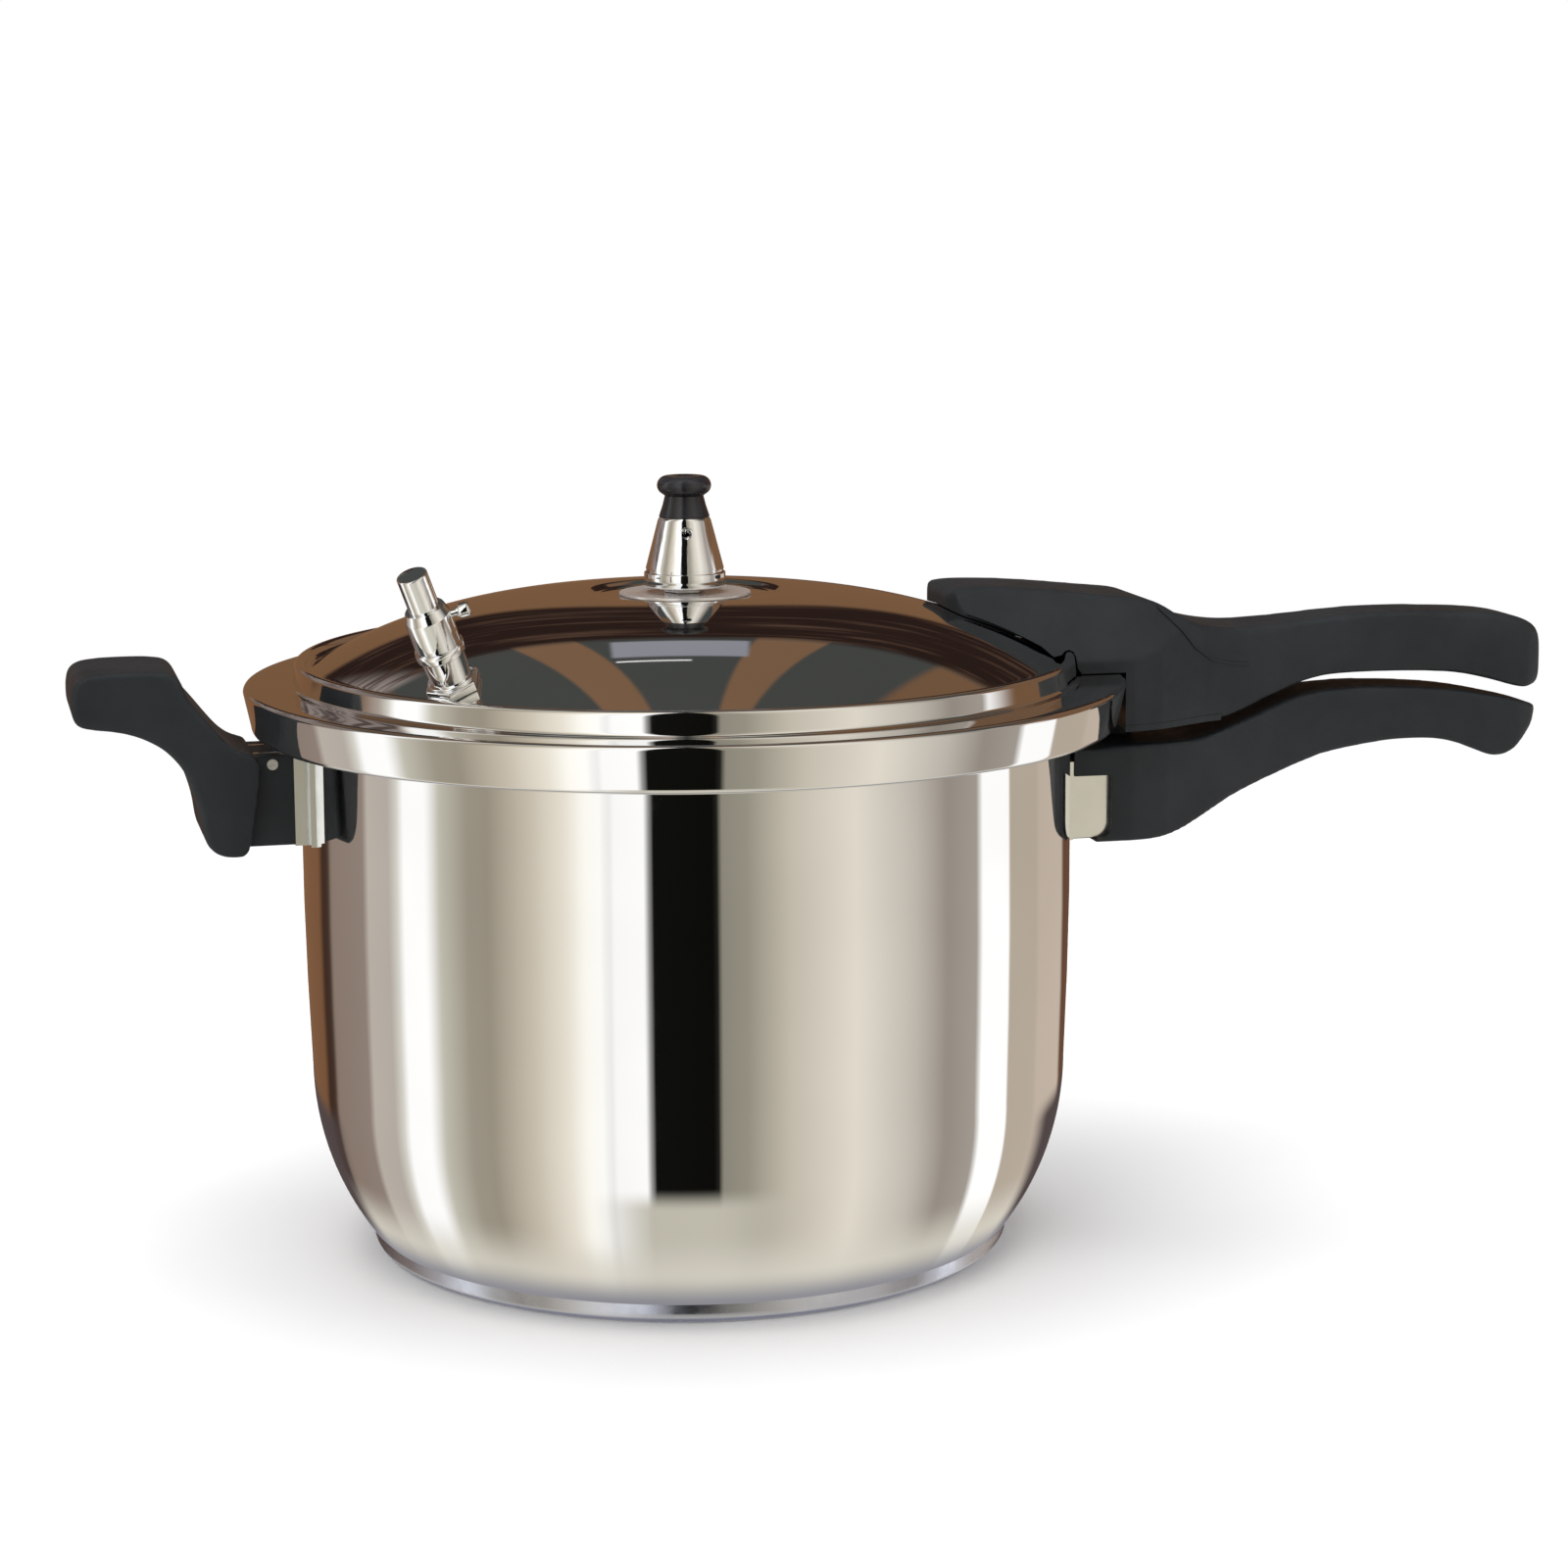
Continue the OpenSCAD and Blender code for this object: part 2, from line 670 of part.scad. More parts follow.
module lid_handle_bracket() color(steel)
    union() {
        translate([134.6, -bracket_half_w, lid_z + 0.02])
            cube([9.4, 2 * bracket_half_w, bracket_t]);
        for (s = [-1, 1])
            translate([137, s * 20 - bracket_t / 2, lid_z])
                cube([7, bracket_t, 12.6]);
    }

module lid_handle_screws() color(zinc)
    for (s = [-1, 1]) translate([inner_screw_x, s * inner_screw_y, 0]) {
        post(2.5, inner_head_z + 2, 12.2, 32);
        post(4.6, inner_head_z, 2.1, 32);
    }

module cover_screw() color(zinc)
    difference() {
        translate([cover_screw_x, 0, 0]) union() {
            post(2, 171.6, 16, 32);
            post(3.6, cover_z - 1.2, 1.4, 32);
        }
        translate([cover_screw_x, 0, cover_z - 1]) cube([5, 0.9, 1.2], center = true);
    }

// ---------- float interlock ----------

float_head_r = 4.6;
float_head_z = float_top_z - 0.9;
float_seat_z = dome_height(float_x - float_hole_r) + 1.6;
float_low_z = 197.7;

module float_pin() color(zinc) translate([float_x, 0, 0])
    union() {
        post(float_hole_r - 0.1, float_low_z - 3, float_seat_z - float_low_z + 3.2);
        post(float_head_r, float_seat_z, float_head_z - float_seat_z);
        post(1.5, float_head_z - 1, float_top_z - float_head_z + 1);
        post(float_hole_r, float_low_z - 5.4, 1.6);
        post(1.6, float_low_z - 4, 2);
    }

module float_clip() color(steel) translate([float_x, 0, 0])
    difference() {
        post(5.2, float_low_z - 3.8, 0.8);
        post(1.6, float_low_z - 5, 3);
    }

module float_seal() color(black_rubber) translate([float_x, 0, 0])
    difference() {
        post(4.8, float_low_z - 3, 1.9);
        post(float_hole_r - 0.1, float_low_z - 4, 4);
    }

lever_left = pivot_x - float_x + 3;
lever_right = lock_x - pivot_x + 2;

module lock_lever() color(steel)
    difference() {
        union() {
            translate([pivot_x - lever_left, -3, pivot_z - lever_t / 2])
                cube([lever_left + lever_right, 6, lever_t]);
            translate([pivot_x, 3, pivot_z]) rotate([90, 0, 0]) cylinder(r = 3, h = 6, $fn = 48);
        }
        translate([pivot_x, 5, pivot_z]) rotate([90, 0, 0])
            cylinder(r = pivot_r + 0.05, h = 10, $fn = 48);
    }

module lock_lever_axle() color(zinc)
    translate([pivot_x, cavity_half_w, pivot_z]) rotate([90, 0, 0])
        cylinder(r = pivot_r, h = 2 * cavity_half_w, $fn = 48);

module lock_pin() color(zinc)
    union() {
        post_at_lock(lock_r, cover_z + 0.3, lock_top_z - cover_z - 0.3);
        post_at_lock(4.4, lock_head_z, lock_top_z - lock_head_z);
    }

module lock_spring() color(zinc) translate([lock_x, 0, 0])
    coil(lock_coil_r, lock_wire_r, lock_spring_z + lock_wire_r,
         lock_head_z - lock_spring_z - 2 * lock_wire_r - 0.1, 5);

pot_shell();
heat_spreader();
base_cap();
pot_handle_bracket();
pot_handle();
pot_handle_screw();
helper_bracket();
helper_handle();
helper_screw();
gasket();
lid_shell();
vent_disc();
vent_pipe();
vent_gasket();
vent_nut();
anti_block_cap();
weight_needle();
weight_body();
weight_knob();
weight_screw();
valve_body();
valve_gasket();
valve_nut();
valve_housing();
valve_spring();
valve_plunger();
valve_side_pin();
lid_handle();
lid_handle_cover();
lid_handle_bracket();
lid_handle_screws();
cover_screw();
float_pin();
float_seal();
float_clip();
lock_lever();
lock_lever_axle();
lock_pin();
lock_spring();
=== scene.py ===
# Stovetop pressure cooker: finished pieces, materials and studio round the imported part.
import json
import math

import bpy
from mathutils import Euler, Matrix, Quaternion, Vector


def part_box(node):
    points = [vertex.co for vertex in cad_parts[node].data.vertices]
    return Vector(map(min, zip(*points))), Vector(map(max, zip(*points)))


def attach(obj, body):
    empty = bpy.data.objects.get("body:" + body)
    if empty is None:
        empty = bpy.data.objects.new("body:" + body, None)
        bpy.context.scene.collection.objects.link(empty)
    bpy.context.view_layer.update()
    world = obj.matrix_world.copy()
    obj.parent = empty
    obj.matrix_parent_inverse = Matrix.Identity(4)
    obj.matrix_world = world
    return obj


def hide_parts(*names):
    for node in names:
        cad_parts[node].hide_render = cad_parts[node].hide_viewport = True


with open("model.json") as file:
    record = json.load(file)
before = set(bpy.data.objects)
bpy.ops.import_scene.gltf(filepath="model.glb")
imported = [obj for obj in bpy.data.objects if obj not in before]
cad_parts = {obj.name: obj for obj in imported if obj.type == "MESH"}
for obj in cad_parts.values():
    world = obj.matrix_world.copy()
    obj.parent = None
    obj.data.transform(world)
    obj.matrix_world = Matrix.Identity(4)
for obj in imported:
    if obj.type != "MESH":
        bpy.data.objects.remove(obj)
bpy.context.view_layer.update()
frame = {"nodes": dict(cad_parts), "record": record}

MM = 0.001
AROUND = 256


# ---------- camera ----------

view_azimuth = math.radians(12.0)
view_distance = 1.2151
view_height = 0.3695
view_pan = math.radians(1.559)
view_tilt = math.radians(9.998)
view_roll = math.radians(-0.264)

camera_data = bpy.data.cameras.new("camera")
camera = bpy.data.objects.new("camera", camera_data)
bpy.context.scene.collection.objects.link(camera)
bpy.context.scene.camera = camera
camera.location = (
    -view_distance * math.sin(view_azimuth),
    -view_distance * math.cos(view_azimuth),
    view_height,
)
aim = Euler((math.radians(90) - view_tilt, 0, -view_azimuth - view_pan)).to_quaternion()
camera.rotation_mode = "QUATERNION"
camera.rotation_quaternion = aim @ Quaternion((0, 0, 1), view_roll)
camera_data.sensor_width = 36
camera_data.lens = 83.28


# ---------- modelling tools ----------

def clear_selection():
    if bpy.context.object and bpy.context.object.mode != "OBJECT":
        bpy.ops.object.mode_set(mode="OBJECT")
    bpy.ops.object.select_all(action="DESELECT")


def use(obj):
    clear_selection()
    bpy.context.view_layer.objects.active = obj
    obj.select_set(True)


def edit(obj, everything=True):
    """Edit mode, with the whole mesh selected unless the selection is to be kept."""
    use(obj)
    bpy.ops.object.mode_set(mode="EDIT")
    bpy.ops.mesh.select_mode(type="VERT")
    if everything:
        bpy.ops.mesh.select_all(action="SELECT")


def done_editing():
    bpy.ops.object.mode_set(mode="OBJECT")


def arc(centre, radius, start, end, steps=8):
    """Points of an arc, angles in degrees."""
    points = []
    for i in range(steps + 1):
        a = math.radians(start + (end - start) * i / steps)
        points.append((centre[0] + radius * math.cos(a), centre[1] + radius * math.sin(a)))
    return points


def ring_curve(points, steps=3):
    """Catmull-Rom curve through a closed ring of points."""
    count = len(points)
    curve = []
    for i in range(count):
        a, b, c, d = (points[(i + k) % count] for k in (-1, 0, 1, 2))
        for k in range(steps):
            t = k / steps
            curve.append(tuple(
                0.5 * (2 * b[n] + t * (c[n] - a[n])
                       + t * t * (2 * a[n] - 5 * b[n] + 4 * c[n] - d[n])
                       + t ** 3 * (3 * b[n] - a[n] - 3 * c[n] + d[n]))
                for n in (0, 1)))
    return curve


def draw_line(name, points, closed):
    """A chain of edges through points in millimetres, drawn by extruding one vertex."""
    clear_selection()
    bpy.ops.mesh.primitive_plane_add(size=MM, location=(0, 0, 0))
    obj = bpy.context.object
    obj.name = name
    edit(obj)
    bpy.ops.mesh.merge(type="CENTER")
    bpy.ops.transform.translate(value=Vector(points[0]) * MM)
    for a, b in zip(points, points[1:]):
        step = (Vector(b) - Vector(a)) * MM
        bpy.ops.mesh.extrude_region_move(TRANSFORM_OT_translate={"value": step})
    done_editing()
    if closed:
        for v in obj.data.vertices:
            v.select = v.index in (0, len(points) - 1)
        edit(obj, everything=False)
        bpy.ops.mesh.edge_face_add()
        done_editing()
    return obj


def shift(obj, by):
    """Moves a mesh by a vector in millimetres; the object itself stays at the origin."""
    edit(obj)
    bpy.ops.transform.translate(value=Vector(by) * MM)
    done_editing()


def close_up(obj):
    """Merges doubled points and turns every face outwards."""
    edit(obj)
    bpy.ops.mesh.remove_doubles(threshold=1e-6)
    bpy.ops.mesh.normals_make_consistent(inside=False)
    done_editing()


def lathe(name, outline, closed=False, around=AROUND, smooth=30):
    """Turned piece: outline is (radius, height) in millimetres."""
    obj = draw_line(name, [(r, 0, z) for r, z in outline], closed)
    edit(obj)
    bpy.ops.mesh.spin(steps=around, angle=math.tau, center=(0, 0, 0), axis=(0, 0, 1))
    close_up(obj)
    bpy.ops.object.shade_smooth_by_angle(angle=math.radians(smooth))
    return obj


def sector(name, outline, start, angle, steps):
    """Part of a turned piece between two angles in degrees, closed at both ends."""
    obj = draw_line(name, [(r, 0, z) for r, z in outline], True)
    edit(obj)
    bpy.ops.mesh.spin(steps=steps, angle=math.radians(angle), center=(0, 0, 0), axis=(0, 0, 1))
    bpy.ops.mesh.select_all(action="SELECT")
    bpy.ops.mesh.fill_holes(sides=0)
    close_up(obj)
    turn(obj, start)
    return obj


def turn(obj, degrees, axis="Z"):
    """Turns a mesh about an axis through the origin; the object itself stays unturned."""
    spin = Quaternion(Vector([axis == c for c in "XYZ"]), math.radians(degrees))
    for v in obj.data.vertices:
        v.co = spin @ v.co


def slab(name, outline, plane, low, high):
    """Flat plate of an outline in a plane, between two levels across it, in millimetres."""
    if plane == "XZ":
        points = [(x, low, z) for x, z in outline]
        push = (0, (high - low) * MM, 0)
    elif plane == "YZ":
        points = [(low, y, z) for y, z in outline]
        push = ((high - low) * MM, 0, 0)
    else:
        points = [(x, y, low) for x, y in outline]
        push = (0, 0, (high - low) * MM)
    obj = draw_line(name, points, True)
    edit(obj)
    bpy.ops.mesh.edge_face_add()
    bpy.ops.mesh.extrude_region_move(TRANSFORM_OT_translate={"value": push})
    close_up(obj)
    return obj


def apply_modifier(obj, kind, **settings):
    use(obj)
    bpy.ops.object.modifier_add(type=kind)
    modifier = obj.modifiers[-1]
    for key, value in settings.items():
        setattr(modifier, key, value)
    bpy.ops.object.modifier_apply(modifier=modifier.name)


def combine(obj, tool, how):
    """Boolean with a tool that is used up."""
    apply_modifier(obj, "BOOLEAN", operation=how, solver="MANIFOLD", object=tool)
    bpy.data.objects.remove(tool)


def cut(obj, *tools):
    for tool in tools:
        combine(obj, tool, "DIFFERENCE")


def copy_of(obj, name):
    twin = obj.copy()
    twin.data = obj.data.copy()
    twin.name = name
    bpy.context.scene.collection.objects.link(twin)
    return twin


def join(obj, others):
    use(obj)
    for o in others:
        o.select_set(True)
    bpy.ops.object.join()


def box(name, low, high):
    """Block between two corners in millimetres."""
    clear_selection()
    bpy.ops.mesh.primitive_cube_add(size=MM, location=(0, 0, 0))
    obj = bpy.context.object
    obj.name = name
    size = Vector(high) - Vector(low)
    middle = (Vector(high) + Vector(low)) / 2
    edit(obj)
    bpy.ops.transform.resize(value=size)
    done_editing()
    shift(obj, middle)
    return obj


def pin(name, radius, length, centre, axis="Z", sides=48):
    """Cylinder along an axis, in millimetres."""
    clear_selection()
    bpy.ops.mesh.primitive_cylinder_add(
        radius=radius * MM, depth=length * MM, vertices=sides, location=(0, 0, 0))
    obj = bpy.context.object
    obj.name = name
    if axis == "Y":
        turn(obj, 90, "X")
    if axis == "X":
        turn(obj, 90, "Y")
    shift(obj, centre)
    return obj


def weight_by_place(obj, name, share):
    """Vertex group whose weight is share(x, y, z), all in millimetres."""
    group = obj.vertex_groups.new(name=name)
    for v in obj.data.vertices:
        w = share(*(v.co / MM))
        if w > 0:
            group.add([v.index], min(w, 1), "REPLACE")


def soften(obj, passes, group=""):
    apply_modifier(obj, "SMOOTH", factor=0.5, iterations=passes, vertex_group=group)


def smooth_shade(obj, angle):
    use(obj)
    bpy.ops.object.shade_smooth_by_angle(angle=math.radians(angle))


def place(obj, body, slot, material, *nodes):
    """Rides on its body, stands for its nodes, and takes its finish."""
    obj.data.materials.clear()
    obj.data.materials.append(material)
    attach(obj, body)
    if nodes:
        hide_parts(*nodes)


# ---------- materials ----------

def srgb(red, green, blue):
    """Linear colour of an 8-bit screen colour."""
    def linear(c):
        c = c / 255
        return c / 12.92 if c <= 0.04045 else ((c + 0.055) / 1.055) ** 2.4
    return (linear(red), linear(green), linear(blue), 1)


class Finish:
    """A Principled material and short calls for the nodes behind it."""

    def __init__(self, name, **values):
        self.material = bpy.data.materials.new(name)
        self.material.use_nodes = True
        self.tree = self.material.node_tree
        self.shader = self.tree.nodes["Principled BSDF"]
        for key, value in values.items():
            self.shader.inputs[key.replace("_", " ")].default_value = value
        self.place = self.add("ShaderNodeTexCoord").outputs["Object"]

    def add(self, kind, **settings):
        node = self.tree.nodes.new(kind)
        for key, value in settings.items():
            setattr(node, key, value)
        return node

    def link(self, a, b):
        self.tree.links.new(a, b)

    def stretched(self, scale):
        node = self.add("ShaderNodeMapping")
        node.inputs["Scale"].default_value = scale
        self.link(self.place, node.inputs["Vector"])
        return node.outputs["Vector"]

    def noise(self, scale, detail=4, roughness=0.55, vector=None):
        node = self.add("ShaderNodeTexNoise")
        node.inputs["Scale"].default_value = scale
        node.inputs["Detail"].default_value = detail
        node.inputs["Roughness"].default_value = roughness
        self.link(vector or self.place, node.inputs["Vector"])
        return node.outputs["Fac"]

    def colour(self, fac, dark, light, low=0.35, high=0.65):
        ramp = self.add("ShaderNodeValToRGB")
        ramp.color_ramp.elements[0].position = low
        ramp.color_ramp.elements[1].position = high
        ramp.color_ramp.elements[0].color = dark
        ramp.color_ramp.elements[1].color = light
        self.link(fac, ramp.inputs["Fac"])
        self.link(ramp.outputs["Color"], self.shader.inputs["Base Color"])

    def roughness(self, fac, low, high):
        node = self.add("ShaderNodeMapRange")
        node.inputs["From Min"].default_value = 0.3
        node.inputs["From Max"].default_value = 0.7
        node.inputs["To Min"].default_value = low
        node.inputs["To Max"].default_value = high
        self.link(fac, node.inputs["Value"])
        self.link(node.outputs["Result"], self.shader.inputs["Roughness"])

    def bump(self, fac, strength, depth):
        node = self.add("ShaderNodeBump")
        node.inputs["Strength"].default_value = strength
        node.inputs["Distance"].default_value = depth
        self.link(fac, node.inputs["Height"])
        last = self.shader.inputs["Normal"]
        if last.is_linked:
            self.link(last.links[0].from_socket, node.inputs["Normal"])
        self.link(node.outputs["Normal"], last)


def polished_steel():
    steel = Finish("polished_steel", Metallic=1.0)
    steel.colour(steel.noise(9, 3), (0.79, 0.785, 0.775, 1), (0.85, 0.845, 0.835, 1))
    steel.roughness(steel.noise(45, 5), 0.012, 0.045)
    rings = steel.stretched((6, 6, 2200))
    steel.bump(steel.noise(1, 2, vector=rings), 0.04, 0.00001)
    return steel.material


def satin_steel():
    steel = Finish("satin_steel", Metallic=1.0)
    steel.colour(steel.noise(14, 4), (0.50, 0.52, 0.60, 1), (0.66, 0.68, 0.76, 1))
    steel.roughness(steel.noise(120, 5), 0.20, 0.34)
    rings = steel.stretched((8, 8, 3000))
    steel.bump(steel.noise(1, 3, vector=rings), 0.25, 0.00004)
    return steel.material


def stamped_steel():
    steel = Finish("stamped_steel", Metallic=1.0)
    steel.colour(steel.noise(30, 4), (0.80, 0.80, 0.76, 1), (0.88, 0.88, 0.85, 1))
    steel.roughness(steel.noise(90, 4), 0.14, 0.22)
    steel.bump(steel.noise(60, 3), 0.05, 0.00004)
    return steel.material


def brushed_plate():
    plate = Finish("brushed_plate", Metallic=0.62)
    plate.colour(plate.noise(60, 4), (0.60, 0.56, 0.53, 1), (0.70, 0.66, 0.63, 1))
    plate.roughness(plate.noise(300, 4), 0.16, 0.26)
    rings = plate.stretched((30, 30, 30))
    plate.bump(plate.noise(8, 4, vector=rings), 0.10, 0.00003)
    return plate.material


def chrome_plate():
    chrome = Finish("chrome_plate", Metallic=1.0)
    chrome.colour(chrome.noise(60, 3), (0.90, 0.91, 0.93, 1), (0.97, 0.98, 1.0, 1))
    chrome.roughness(chrome.noise(220, 4), 0.02, 0.07)
    streaks = chrome.stretched((420, 420, 9))
    chrome.bump(chrome.noise(1, 2, vector=streaks), 0.35, 0.00012)
    return chrome.material


def turned_zinc():
    zinc = Finish("turned_zinc", Metallic=1.0)
    zinc.colour(zinc.noise(150, 4), (0.58, 0.58, 0.60, 1), (0.74, 0.74, 0.75, 1))
    zinc.roughness(zinc.noise(400, 4), 0.22, 0.36)
    zinc.bump(zinc.noise(900, 3), 0.15, 0.00004)
    return zinc.material


def cast_aluminium():
    metal = Finish("cast_aluminium", Metallic=1.0)
    metal.colour(metal.noise(70, 5), (0.62, 0.63, 0.64, 1), (0.78, 0.79, 0.80, 1))
    metal.roughness(metal.noise(300, 5), 0.35, 0.5)
    metal.bump(metal.noise(700, 5), 0.3, 0.0001)
    return metal.material


def moulded_bakelite():
    black = Finish("moulded_bakelite")
    black.shader.inputs["Specular IOR Level"].default_value = 0.26
    black.colour(black.noise(24, 5), (0.0125, 0.0150, 0.0170, 1), (0.0190, 0.0225, 0.0250, 1))
    black.roughness(black.noise(260, 5), 0.42, 0.55)
    black.bump(black.noise(1500, 4), 0.16, 0.00004)
    black.bump(black.noise(110, 3), 0.10, 0.00010)
    return black.material


def moulded_knob():
    black = Finish("moulded_knob")
    black.colour(black.noise(60, 4), (0.010, 0.010, 0.012, 1), (0.018, 0.018, 0.021, 1))
    black.roughness(black.noise(300, 4), 0.18, 0.30)
    black.bump(black.noise(900, 4), 0.10, 0.00004)
    return black.material


def silicone():
    rubber = Finish("silicone")
    rubber.colour(rubber.noise(40, 4), (0.50, 0.50, 0.48, 1), (0.60, 0.60, 0.58, 1))
    rubber.roughness(rubber.noise(300, 4), 0.55, 0.72)
    rubber.bump(rubber.noise(1200, 4), 0.2, 0.00005)
    return rubber.material


def black_rubber():
    rubber = Finish("black_rubber")
    rubber.colour(rubber.noise(80, 4), (0.018, 0.018, 0.018, 1), (0.032, 0.032, 0.032, 1))
    rubber.roughness(rubber.noise(400, 4), 0.6, 0.8)
    rubber.bump(rubber.noise(1500, 4), 0.25, 0.00005)
    return rubber.material


finishes = {
    "polished_steel": polished_steel(),
    "base_steel": satin_steel(),
    "aluminium": cast_aluminium(),
    "bracket_steel": stamped_steel(),
    "valve_chrome": chrome_plate(),
    "fastener": turned_zinc(),
    "bakelite": moulded_bakelite(),
    "knob_plastic": moulded_knob(),
    "silicone": silicone(),
    "black_rubber": black_rubber(),
}

for row in frame["record"]["subparts"]:
    node = frame["nodes"][row["node"]]
    node.data.materials.clear()
    node.data.materials.append(finishes[row["material_slot"]])


# ---------- levels taken from the part ----------

def level(node, corner, axis):
    """One coordinate of a node's box, in millimetres: corner 0 is the low one."""
    return getattr(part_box(node)[corner], axis) / MM


base_h = level("pot_shell", 0, "z")
rim_top_z = level("pot_shell", 1, "z")
lid_r = level("lid_shell", 1, "x")
lid_bottom_z = level("lid_shell", 0, "z")
disc_r = level("vent_disc", 1, "x")
disc_top_z = level("vent_disc", 1, "z")
recess_z = level("vent_disc", 0, "z")
weight_z = level("weight_body", 0, "z")
knob_z = level("weight_knob", 0, "z")
weight_top_z = level("weight_knob", 1, "z")
weight_r = level("weight_body", 1, "x")
base_r = level("base_cap", 1, "x")

pot_r = 130
pot_wall = 1.8
flange_r = 136.6
lug_count = 6
lug_pitch = 360 / lug_count
hole_r = 5.1
rim_z = rim_top_z - pot_wall
lid_z = 193
lid_wall = 1.5
dome_r = 126
dome_z = 197.8
dome_rise = 24.7


def dome_height(r):
    return dome_z + dome_rise * (1 - (r / dome_r) ** 3)


# ---------- pot ----------

def wall_outline(outer, thickness):
    """Path that runs beside an outer path, one wall thickness to its left."""
    inner = []
    for i, p in enumerate(outer):
        before = outer[max(i - 1, 0)]
        after = outer[min(i + 1, len(outer) - 1)]
        d = (Vector(after) - Vector(before)).normalized()
        inner.append((p[0] - thickness * d.y, p[1] + thickness * d.x))
    return inner


def make_pot():
    corner_r = 93
    corner = (pot_r - 1.5 - corner_r, 63)
    start = -math.degrees(math.asin((corner[1] - base_h) / corner_r))
    outer = [(0, base_h), (50, base_h)]
    outer += arc(corner, corner_r, start, 0, 40)
    outer += [(pot_r - 0.5, 92), (pot_r, 120), (pot_r, 150), (pot_r, rim_z - 4)]
    outer += arc((pot_r + 3, rim_z - 3), 3, 160, 90, 8)
    outer += [(flange_r, rim_z)]
    inner = wall_outline(outer, pot_wall)
    inner[0] = (0, base_h + pot_wall)
    edge = arc((flange_r, rim_z + pot_wall / 2), pot_wall / 2, -60, 60, 4)
    pot = lathe("pot_body", outer + edge + inner[::-1])
    lug_r = 142.5
    lug_span = 26
    lug = [(135, rim_z + 0.05), (lug_r - 0.3, rim_z + 0.05), (lug_r, rim_z + 0.4),
           (lug_r, rim_top_z - 0.4), (lug_r - 0.3, rim_top_z - 0.05), (135, rim_top_z - 0.05)]
    lugs = [sector("pot_lug", lug, lug_pitch * i - lug_span / 2, lug_span, 16) for i in range(lug_count)]
    join(pot, lugs)
    smooth_shade(pot, 30)
    place(pot, "pot", "polished_steel", finishes["polished_steel"], "pot_shell")


def make_base():
    edge_r = 4.2
    outer = [(0, 0), (base_r - 6, 0)] + arc((base_r - edge_r, edge_r), edge_r, -80, 0, 10)
    outer += [(base_r, base_h - 0.3), (base_r - 0.3, base_h), (base_r - 1, base_h)]
    base = lathe("base_cup", outer + [(base_r - 1, base_h - 0.4), (0, base_h - 0.4)])
    place(base, "pot", "base_steel", finishes["base_steel"], "base_cap")


# ---------- lid ----------

def lid_outer():
    """Outer face of the lid from the skirt's lip to the vent hole."""
    skirt_r = lid_r - 2.4
    path = arc((skirt_r - 2.2, lid_bottom_z + 2.2), 2.2, -90, 0, 8)
    path += arc((lid_r - 1.9, lid_z - 1.9), 1.9, 2, 88, 8)
    path += [(140, lid_z), (135.2, lid_z)]
    path += arc((133.6, lid_z + 1.8), 1.8, 285, 192, 8)
    path += arc((129.3, lid_z + 6), 1.9, 8, 140, 14)
    path += [(127.1, dome_z + 0.9), (126.4, dome_z + 0.45)]
    path += [(r, dome_height(r)) for r in range(125, 33, -2)]
    path += [(33.0, dome_height(33)), (32.2, recess_z + 1.1), (31.4, recess_z + 0.4),
             (30.4, recess_z + 0.05), (29, recess_z), (hole_r, recess_z)]
    return path


def make_lid():
    outer = lid_outer()
    inner = wall_outline(outer, lid_wall)
    inner[-1] = (hole_r, recess_z - lid_wall)
    lid = lathe("lid_body", outer + inner[::-1], closed=True)
    lug_low = rim_z - 2.3
    lug_in = 138
    lug_out = 145.2
    lug_span = 28
    lug = [(lug_in + 0.3, lug_low), (lug_out, lug_low), (lug_out, lug_low + 2),
           (lug_in + 0.3, lug_low + 2), (lug_in, lug_low + 1.7), (lug_in, lug_low + 0.3)]
    lugs = [sector("lid_lug", lug, lug_pitch * i - lug_span / 2, lug_span, 16) for i in range(lug_count)]
    join(lid, lugs)
    smooth_shade(lid, 32)
    place(lid, "lid", "polished_steel", finishes["polished_steel"], "lid_shell")
    disc = lathe("vent_plate", [
        (hole_r, recess_z + 0.02), (disc_r - 0.2, recess_z + 0.02), (disc_r, recess_z + 0.3),
        (disc_r - 0.15, disc_top_z - 0.1), (disc_r - 0.6, disc_top_z), (disc_r - 2, disc_top_z - 0.12),
        (disc_r - 2.4, disc_top_z - 0.2), (hole_r, disc_top_z - 0.2)], closed=True)
    place(disc, "lid", "polished_steel", brushed_plate(), "vent_disc")


# ---------- regulator ----------

